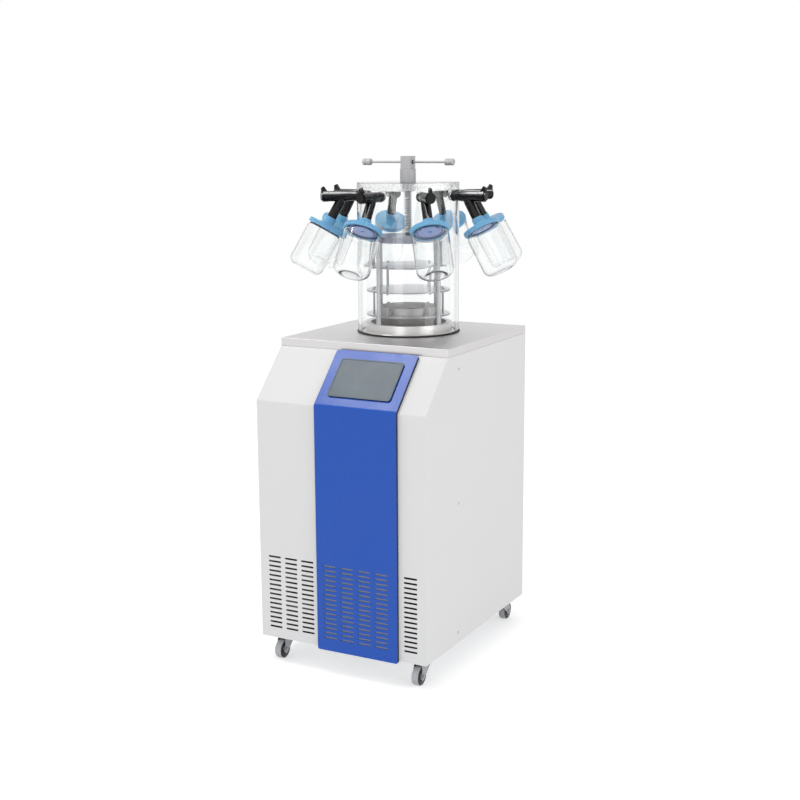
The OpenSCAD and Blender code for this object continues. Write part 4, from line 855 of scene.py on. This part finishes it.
# %% Ring tree
def ring_tree(name, finish):
    """A tree that sets copies of its input round the z axis."""
    tree, given, result = new_tree(name, {"Count": 8, "First Angle": 0.0})
    turn = add(tree, "ShaderNodeMath", {"operation": "DIVIDE", 0: 2 * math.pi},
               {1: given.outputs["Count"]})
    points = add(tree, "GeometryNodePoints", links={"Count": given.outputs["Count"]})
    index = add(tree, "GeometryNodeInputIndex")
    angle = add(tree, "ShaderNodeMath", {"operation": "MULTIPLY_ADD"},
                {0: index.outputs[0], 1: turn.outputs[0], 2: given.outputs["First Angle"]})
    rotation = add(tree, "ShaderNodeCombineXYZ", links={"Z": angle.outputs[0]})
    copies = add(tree, "GeometryNodeInstanceOnPoints", links={
        "Points": points.outputs[0], "Instance": given.outputs["Geometry"],
        "Rotation": rotation.outputs[0]})
    end_tree(tree, result, copies.outputs["Instances"], finish)
    return tree


def round_the_drum(name, bm, finish, smooth_angle=35.0):
    """Eight copies of a mesh drawn for the valve that points along +X."""
    start = bpy.data.meshes.new(name + "_one")
    bm.to_mesh(start)
    bm.free()
    piece = bake(name, ring_tree(name + "_ring", finish),
                 {"Count": len(valve_angles), "First Angle": valve_angles[0]},
                 finish, start, smooth_angle)
    piece.data.transform(Matrix.Translation((axis_x, axis_y, valve_z)))
    return piece


print("first valve at", round(math.degrees(valve_angles[0]), 2), "degrees")

# %% [markdown]
# The valve's fixed body is a barrel that stands out from the drum and a stem that
# leans outwards and down, moulded in one piece. Both are turned, the barrel along X
# and the stem along its own leaning axis. A flange against the drum and a slight waist
# behind it give the barrel the shape of a moulding.

# %% Valve bodies
stem_at = drum_r + 40 * mm
stem_tilt = math.radians(30)
stem = Matrix.Translation((stem_at, 0, 0)) @ Matrix.Rotation(math.pi - stem_tilt, 4, "Y")
barrel_r = 14 * mm
port_r = 11 * mm
passage_r = 6 * mm
knob_start = drum_r + 82 * mm
barrel_start = drum_r + 0.3 * mm
# The knob's plug fills the end of the bore.
plug_r, plug_end = 10.1 * mm, knob_start - 15 * mm
stem_r = 13 * mm
stem_end = 80 * mm
profile = ([(passage_r, inner_r - 4 * mm), (port_r - 0.6 * mm, inner_r - 4 * mm),
            (port_r, inner_r - 3.4 * mm), (port_r, barrel_start)]
           + arc(barrel_r - 1 * mm, barrel_start + 1 * mm, 1 * mm, -90, 0, 3)
           + [(barrel_r, barrel_start + 6 * mm), (barrel_r - 1.2 * mm, barrel_start + 7.5 * mm),
              (barrel_r - 1.2 * mm, barrel_start + 20 * mm),
              (barrel_r - 0.3 * mm, stem_at - 16 * mm),
              (barrel_r - 0.1 * mm, stem_at + 16 * mm),
              (barrel_r - 0.1 * mm, knob_start - 4 * mm)]
           + arc(barrel_r - 1.5 * mm, knob_start - 1.5 * mm, 1.5 * mm, 0, 90, 3)
           + [(plug_r, knob_start), (plug_r, plug_end), (passage_r, plug_end)])
body = turned(profile, steps=64, loop=True)
body.transform(lie_down)
# The stem starts inside the barrel's wall.
profile = [(passage_r, 2 * mm), (stem_r - 0.4 * mm, 2 * mm), (stem_r - 0.4 * mm, 16 * mm),
           (stem_r, 19 * mm), (stem_r, stem_end - 1 * mm), (stem_r - 1 * mm, stem_end),
           (passage_r, stem_end)]
branch = turned(profile, steps=64, loop=True)
branch.transform(stem)
joined = bpy.data.meshes.new("branch")
branch.to_mesh(joined)
branch.free()
body.from_mesh(joined)
valves = round_the_drum("valve_bodies_moulded", body, "valve_plastic")
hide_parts("valve_bodies")
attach(valves, "cabinet")
print("valve bodies:", len(valves.data.polygons), "faces")

# %% [markdown]
# A cap is a soft sleeve that is pushed over the stem, with a wide disc that takes the
# flask's neck. Its edges are generously rounded, as silicone mouldings are, and a
# shallow groove runs round the rim.

# %% Flask caps
cap_at, cap_t, cap_r = 89 * mm, 12 * mm, 51 * mm
cap_neck_r, cap_neck_start = 15.5 * mm, 66 * mm
recess = 8 * mm
mouth_r = 44.6 * mm
sleeve_r = stem_r + 0.1 * mm
groove_r = cap_r - 0.7 * mm
cap_end = cap_at + cap_t
profile = ([(sleeve_r, cap_neck_start)]
           + arc(cap_neck_r - 1 * mm, cap_neck_start + 1 * mm, 1 * mm, -90, 0, 3)
           + [(cap_neck_r, cap_at - 9 * mm), (cap_neck_r + 1.5 * mm, cap_at - 6 * mm),
              (cap_neck_r + 7 * mm, cap_at - 2.5 * mm), (cap_neck_r + 15 * mm, cap_at)]
           + [(cap_r - 6 * mm, cap_at), (cap_r - 5 * mm, cap_at + 0.4 * mm)]
           + arc(cap_r - 2.5 * mm, cap_at + 2.5 * mm, 2.5 * mm, -90, 0, 5)
           + [(cap_r, cap_at + 5.2 * mm), (groove_r, cap_at + 5.8 * mm),
              (groove_r, cap_at + 6.6 * mm), (cap_r, cap_at + 7.2 * mm)]
           + arc(cap_r - 1.5 * mm, cap_end - 1.5 * mm, 1.5 * mm, 0, 90, 4)
           + [(mouth_r, cap_end), (mouth_r, cap_end - recess), (passage_r, cap_end - recess),
              (passage_r, stem_end), (sleeve_r, stem_end)])
cap = turned(profile, steps=96, loop=True)
cap.transform(stem)
caps = round_the_drum("flask_caps_moulded", cap, "cap_rubber")
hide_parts("flask_caps")
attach(caps, "cabinet")
print("caps:", len(caps.data.polygons), "faces")

# %% [markdown]
# Inside each cap a plug fills the flask's mouth, with two beads on its face that seal it. Seen
# through the flask from below they are the cap's plainest feature. The plug is painted a pale lilac
# as painted light for the cap's shaded underside. The beads are a dark navy as painted shade for
# the gaps between the flask's lip and the cap. Both are lathe profiles again, so the ring tree
# places eight of each.

# %% Cap liners and sealing beads
liner_at, liner_r = cap_end - recess, 41.6 * mm
liner_face = liner_at + 6.5 * mm
profile = [(passage_r, liner_at), (liner_r, liner_at), (liner_r, liner_face - 1 * mm),
           (liner_r - 1 * mm, liner_face), (passage_r, liner_face)]
liner = turned(profile, steps=96, loop=True)
liner.transform(stem)
liners = round_the_drum("cap_liners", liner, "plug_painted_light")
beads = bmesh.new()
for bead_r, thick in ((39.6 * mm, 1.9 * mm), (32.5 * mm, 1.2 * mm)):
    turned(round_section(bead_r, liner_face, thick), steps=96, loop=True, into=beads)
beads.transform(stem)
beads = round_the_drum("cap_sealing_beads", beads, "bead_painted_shade")
for piece in (liners, beads):
    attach(piece, "cabinet")
print("liner and bead faces:", len(liners.data.polygons), len(beads.data.polygons))

# %% [markdown]
# A flask is blown glass with an even wall: a wide neck with a fire-polished lip, a
# short shoulder, straight sides, and a flat base whose middle is pushed in slightly so
# that it stands without rocking. The inner profile follows the outer at the wall's
# thickness.

# %% Flasks
flask_start, flask_end = 93 * mm, 223.8 * mm
neck_r_out, flask_r, wall, corner = 44.5 * mm, 49.3 * mm, 2.5 * mm, 20 * mm
dome = 2.2 * mm


def flask_profile(inset):
    """Outer profile for inset 0, inner profile for an inset of the wall."""
    n, r, q = neck_r_out - inset, flask_r - inset, corner - inset
    base = flask_end - inset
    side = [(n, flask_start + 8 * mm)]
    steps = 8
    for k in range(steps + 1):
        t = k / steps
        ease = t * t * (3 - 2 * t)
        side.append((n + (r - n) * ease, flask_start + 9.5 * mm + 9 * mm * t))
    side += arc(r - q, base - q, q, 0, 90, 12)
    side += [((r - q) * t, base - dome * (1 - t * t)) for t in (0.93, 0.85, 0.7, 0.55, 0.4, 0.2, 0)]
    return side


lip = arc(neck_r_out - wall / 2, flask_start + wall / 2, wall / 2, -180, 0, 8)
profile = list(reversed(flask_profile(wall))) + lip + flask_profile(0)
flask = turned(profile, steps=96)
# The heel is a narrow band round the flat of the base, where the dark line is painted as painted
# shade. The painted line is strongest on the side away from the drum and fades towards the other.
heel = flask.verts.layers.float.new("heel")
flat_r = flask_r - corner
heel_in, heel_out, heel_deep = 4.6 * mm, 0.3 * mm, 1 * mm
for v in flask.verts:
    out = math.hypot(v.co.x, v.co.y) - flat_r
    if -heel_in < out < heel_out and v.co.z > flask_end - heel_deep:
        v[heel] = 0.05 + 0.95 * min(max(0.5 - 1.5 * v.co.x / flat_r, 0), 1)
flask.transform(stem)
flasks = round_the_drum("flasks_blown", flask, "flask_glass", smooth_angle=60)
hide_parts("flasks")
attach(flasks, "cabinet")
print("flasks:", len(flasks.data.polygons), "faces")

# %% [markdown]
# ## The valve knobs
#
# Each valve is opened by turning the end of its barrel. The knob has an ear for the
# thumb. Eight knobs are eight bodies, so they stay eight pieces; their nodes have the
# right shape and get a rounded edge.

# %% Valve knobs
knobs = [finish_node("valve_knob_%d" % k, "valve_plastic", 0.0009) for k in range(1, 9)]
print("knob travel", joints["valve_knob_1_turn"]["range_deg"])

# %% [markdown]
# ## Casters
#
# Pressed forks of zinc-plated steel carry rubber wheels. The plates are bolted under the base pan.
# The inside of each fork and the wheel's sides are painted black as painted shade, for the shade in
# the gap between the wheel and its fork.

# %% Casters
finish_node("caster_plates", "pressed_zinc", 0.0006)
inside = 0
for k in range(1, 5):
    fork = finish_node("caster_fork_%d" % k, "pressed_zinc", 0.0004)
    wheel = finish_node("caster_wheel_%d" % k, "wheel_rubber", 0.0)
    wheel_low, wheel_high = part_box("caster_wheel_%d" % k)
    middle = (wheel_low.x + wheel_high.x) / 2
    reach = (wheel_high.x - wheel_low.x) / 2 + 2.5 * mm
    # The fork's faces that look towards the wheel, and those that face down, are painted black as
    # painted shade.
    inside += repaint(fork, "black_plastic", lambda at, n: abs(at.x - middle) < reach and (
        n.x * (middle - at.x) > 0.7 * abs(middle - at.x) or n.z < -0.7))
    # The wheel's sides are painted black as painted shade.
    repaint(wheel, "black_plastic", lambda at, n: abs(n.x) > 0.7)
print("faces of the painted fork shade:", inside)

# %% [markdown]
# ## Screws
#
# Pan-head screws with a cross recess hold the sheet metal to its frame. One screw
# is made from a turned head with a cross cut into it, and Geometry Nodes place a copy
# at every screw of the construction model. The points carry a direction, and each
# copy is turned to it.

# %% Panel screws
head_r, head_h = 3.6 * mm, 2.0 * mm
shank_r, shank_l, head_round = 2 * mm, 8 * mm, 1.4 * mm
slot_l, slot_w, slot_deep = 4.4 * mm, 0.9 * mm, 1.4 * mm
bm = turned([(0, -shank_l), (shank_r, -shank_l), (shank_r, 0), (head_r, 0)]
            + arc(head_r - head_round, head_h - head_round, head_round, 0, 90, 4)
            + [(0, head_h)], steps=24)
screw = to_object("one_screw", bm, finishes["zinc_steel"])
cross = bmesh.new()
for size in ((slot_l, slot_w, slot_deep), (slot_w, slot_l, slot_deep)):
    bar_of_cross = bmesh.ops.create_cube(cross, size=1.0)["verts"]
    bmesh.ops.scale(cross, vec=size, verts=bar_of_cross)
    bmesh.ops.translate(cross, vec=(0, 0, head_h), verts=bar_of_cross)
cutter = to_object("cross_cutter", cross, finishes["zinc_steel"])
cutter.modifiers.new("merge", "REMESH").voxel_size = 0.2 * mm
cutter.data = bpy.data.meshes.new_from_object(
    cutter.evaluated_get(bpy.context.evaluated_depsgraph_get()))
cutter.modifiers.clear()
screw = cut_with(screw, cutter)


def separate_parts(bm):
    """The groups of vertices that hang together."""
    parts, found = [], set()
    for first in bm.verts:
        if first not in found:
            part, front = [], [first]
            while front:
                v = front.pop()
                if v not in found:
                    found.add(v)
                    part.append(v)
                    front += [e.other_vert(v) for e in v.link_edges]
            parts.append(part)
    return parts


def screw_seat(part):
    """Where a screw's head meets the sheet, and the way that the head faces."""
    low = Vector([min(v.co[i] for v in part) for i in range(3)])
    high = Vector([max(v.co[i] for v in part) for i in range(3)])
    middle = (low + high) / 2
    along = max(range(3), key=lambda i: (high - low)[i])
    across = [i for i in range(3) if i != along]
    # The head is the wide end, so it lies on the side where the widest points are.
    wide = [v.co[along] for v in part
            if max(abs(v.co[i] - middle[i]) for i in across) > shank_r + 1 * mm]
    sign = 1 if sum(wide) / len(wide) > middle[along] else -1
    facing = Vector([sign if i == along else 0 for i in range(3)])
    seat = middle.copy()
    seat[along] = (high if sign > 0 else low)[along] - sign * head_h
    return seat, facing


joined_screws = welded("panel_screws")
seats = [screw_seat(part) for part in separate_parts(joined_screws)]
joined_screws.free()
print("screws found:", len(seats))

# %% Place the screws
points = bpy.data.meshes.new("screw_seats")
points.from_pydata([seat for seat, _ in seats], [], [])
direction = points.attributes.new("facing", "FLOAT_VECTOR", "POINT")
for i, (_, facing) in enumerate(seats):
    direction.data[i].vector = facing
tree, given, result = new_tree("screws", {"Size": 1.0})
part = add(tree, "GeometryNodeObjectInfo", {"Object": screw})
facing = add(tree, "GeometryNodeInputNamedAttribute",
             {"data_type": "FLOAT_VECTOR", "Name": "facing"})
turn = add(tree, "FunctionNodeAlignRotationToVector", {"axis": "Z"}, {"Vector": facing.outputs[0]})
copies = add(tree, "GeometryNodeInstanceOnPoints", links={
    "Points": given.outputs["Geometry"], "Instance": part.outputs["Geometry"],
    "Rotation": turn.outputs[0], "Scale": given.outputs["Size"]})
end_tree(tree, result, copies.outputs["Instances"], "zinc_steel")
screws = bake("panel_screws_cut", tree, {"Size": 1.0}, "zinc_steel", points)
bpy.data.objects.remove(screw)
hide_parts("panel_screws")
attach(screws, "cabinet")
print("screw mesh:", len(screws.data.polygons), "faces")

# %% [markdown]
# ## Inside the cabinet
#
# The refrigeration set is hidden, but it shows when a panel is taken off or through
# the slots. The nodes carry on with the finish of their real material.

# %% Machinery
for node, finish, edge_radius, smooth_angle in (
        ("compressor", "compressor_coat", 0, 35), ("condenser", "aluminium", 0, 35),
        ("fan_shroud", "black_plastic", 0, 35), ("fan_motor", "grey_coat", 0.5 * mm, 35),
        ("fan_blade", "fan_plastic", 0.4 * mm, 35), ("refrigerant_pipes", "copper", 0, 50),
        ("evaporator_coil", "copper", 0, 50), ("insulation_jacket", "foam", 0, 35),
        ("control_box", "grey_coat", 0.4 * mm, 35), ("drain_pipe", "shelf_steel", 0, 50),
        ("drain_valve", "brass", 0.4 * mm, 35), ("drain_lever", "red_plastic", 0.5 * mm, 35),
        ("vacuum_port", "shelf_steel", 0.4 * mm, 35),
        ("power_inlet", "black_plastic", 0.4 * mm, 35),
        ("power_switch", "red_plastic", 0.3 * mm, 35)):
    finish_node(node, finish, edge_radius, smooth_angle)
print("machinery finished")

# %% [markdown]
# The condenser's fins are over a hundred thin plates at an even spacing, so a small
# tree lines up copies of one plate. Real fins are 0.1 mm thick; ours are 0.25 mm so
# that they show.

# %% Condenser fins
fin_low, fin_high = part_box("condenser")
fin_sizes = {"Fins": 105, "Pitch": 0.0029, "Thickness": 0.00025, "Depth": 0.022, "Height": 0.215}
tree, given, result = new_tree("fins", fin_sizes)
plate_size = add(tree, "ShaderNodeCombineXYZ", links={
    "X": given.outputs["Thickness"], "Y": given.outputs["Depth"], "Z": given.outputs["Height"]})
plate = add(tree, "GeometryNodeMeshCube", links={"Size": plate_size.outputs[0]})
step = add(tree, "ShaderNodeCombineXYZ", links={"X": given.outputs["Pitch"]})
row = add(tree, "GeometryNodeMeshLine", links={
    "Count": given.outputs["Fins"], "Offset": step.outputs[0]})
copies = add(tree, "GeometryNodeInstanceOnPoints", links={
    "Points": row.outputs["Mesh"], "Instance": plate.outputs["Mesh"]})
end_tree(tree, result, copies.outputs["Instances"], "aluminium")
fins = bake("condenser_fins", tree, fin_sizes, "aluminium")
span = (fin_sizes["Fins"] - 1) * fin_sizes["Pitch"]
middle = (fin_low + fin_high) / 2
fins.data.transform(Matrix.Translation((middle.x - span / 2, middle.y, middle.z)))
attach(fins, "cabinet")
print("fins:", fin_sizes["Fins"])

# %% [markdown]
# ## The studio
#
# The floor and the sky are plain and pale. The world lights everything softly from
# all sides, and three softboxes give the shapes a direction. A camera, mirror or
# glass ray that reaches the world sees pure white, while the light it gives stays at
# a plain level, so that colours render about as they are written. The glossy black
# valves need a lamp of their own for the bright line along each barrel, and light
# linking keeps it off everything else.

# %% World
def in_sight(tree):
    """A socket that is 1 for a ray that the camera sees, also by a mirror or through
    glass, and 0 for a ray that carries light."""
    path = add(tree, "ShaderNodeLightPath")
    either = add(tree, "ShaderNodeMath", {"operation": "MAXIMUM"},
                 {0: path.outputs["Is Camera Ray"], 1: path.outputs["Is Glossy Ray"]})
    return add(tree, "ShaderNodeMath", {"operation": "MAXIMUM"},
               {0: either.outputs[0], 1: path.outputs["Is Transmission Ray"]}).outputs[0]


sky_light = 0.66
world = bpy.data.worlds.new("studio_sky")
bpy.context.scene.world = world
world.use_nodes = True
tree = world.node_tree
tree.nodes.clear()
level = add(tree, "ShaderNodeMapRange", {"To Min": sky_light, "To Max": 1.0},
            {"Value": in_sight(tree)})
sky = add(tree, "ShaderNodeBackground", {"Color": (1, 1, 1, 1)},
          {"Strength": level.outputs["Result"]})
add(tree, "ShaderNodeOutputWorld", links={"Surface": sky.outputs[0]})
print("world strength for light", sky_light, "and for sight 1.0")

# %% Lamps
def area_lamp(name, place, target, size, power):
    """A softbox that looks at a target; its size is in metres and its power in watts."""
    data = bpy.data.lights.new(name, "AREA")
    data.shape = "RECTANGLE"
    data.size, data.size_y = size
    data.energy = power
    lamp = bpy.data.objects.new(name, data)
    lamp.location = place
    lamp.rotation_euler = (Vector(target) - Vector(place)).to_track_quat("-Z", "Y").to_euler()
    bpy.context.scene.collection.objects.link(lamp)
    return lamp


area_lamp("overhead_softbox", (-1.10, -0.78, 2.96), (0.05, -0.25, 0.8), (0.56, 0.56), 11)
area_lamp("front_softbox", (0.4, -4.3, 1.5), (0, 0, 0.6), (1.6, 2.2), 17)
area_lamp("side_softbox", (3.6, -0.9, 1.4), (0, 0, 0.6), (1.6, 2.2), 17)
strip = area_lamp("valve_strip", (0, -0.3, 3.0), (0, 0, 1.2), (2, 2), 250)
glossy_black = bpy.data.collections.new("lit_by_the_strip")
for piece in [valves] + knobs:
    glossy_black.objects.link(piece)
strip.light_linking.receiver_collection = glossy_black

# %% Floor
bm = bmesh.new()
bmesh.ops.create_grid(bm, x_segments=1, y_segments=1, size=14)
floor_material, tree, shader = start_material("studio_floor", "#F4F4F4", 0.9,
                                              Specular_IOR_Level=0.0)
# The floor glows a little where it is seen, so that it meets the white sky unseen.
floor_glow = 0.44
glow = add(tree, "ShaderNodeMath", {"operation": "MULTIPLY", 1: floor_glow}, {0: in_sight(tree)})
tree.links.new(glow.outputs[0], shader.inputs["Emission Strength"])
shader.inputs["Emission Color"].default_value = (1, 1, 1, 1)
floor = to_object("studio_floor", bm, floor_material)
print("floor ready")

# %% [markdown]
# ## The view transform
#
# The picture is rendered with the Standard view transform, so that colours are not bent.

# %% Finish
bpy.context.scene.view_settings.view_transform = "Standard"
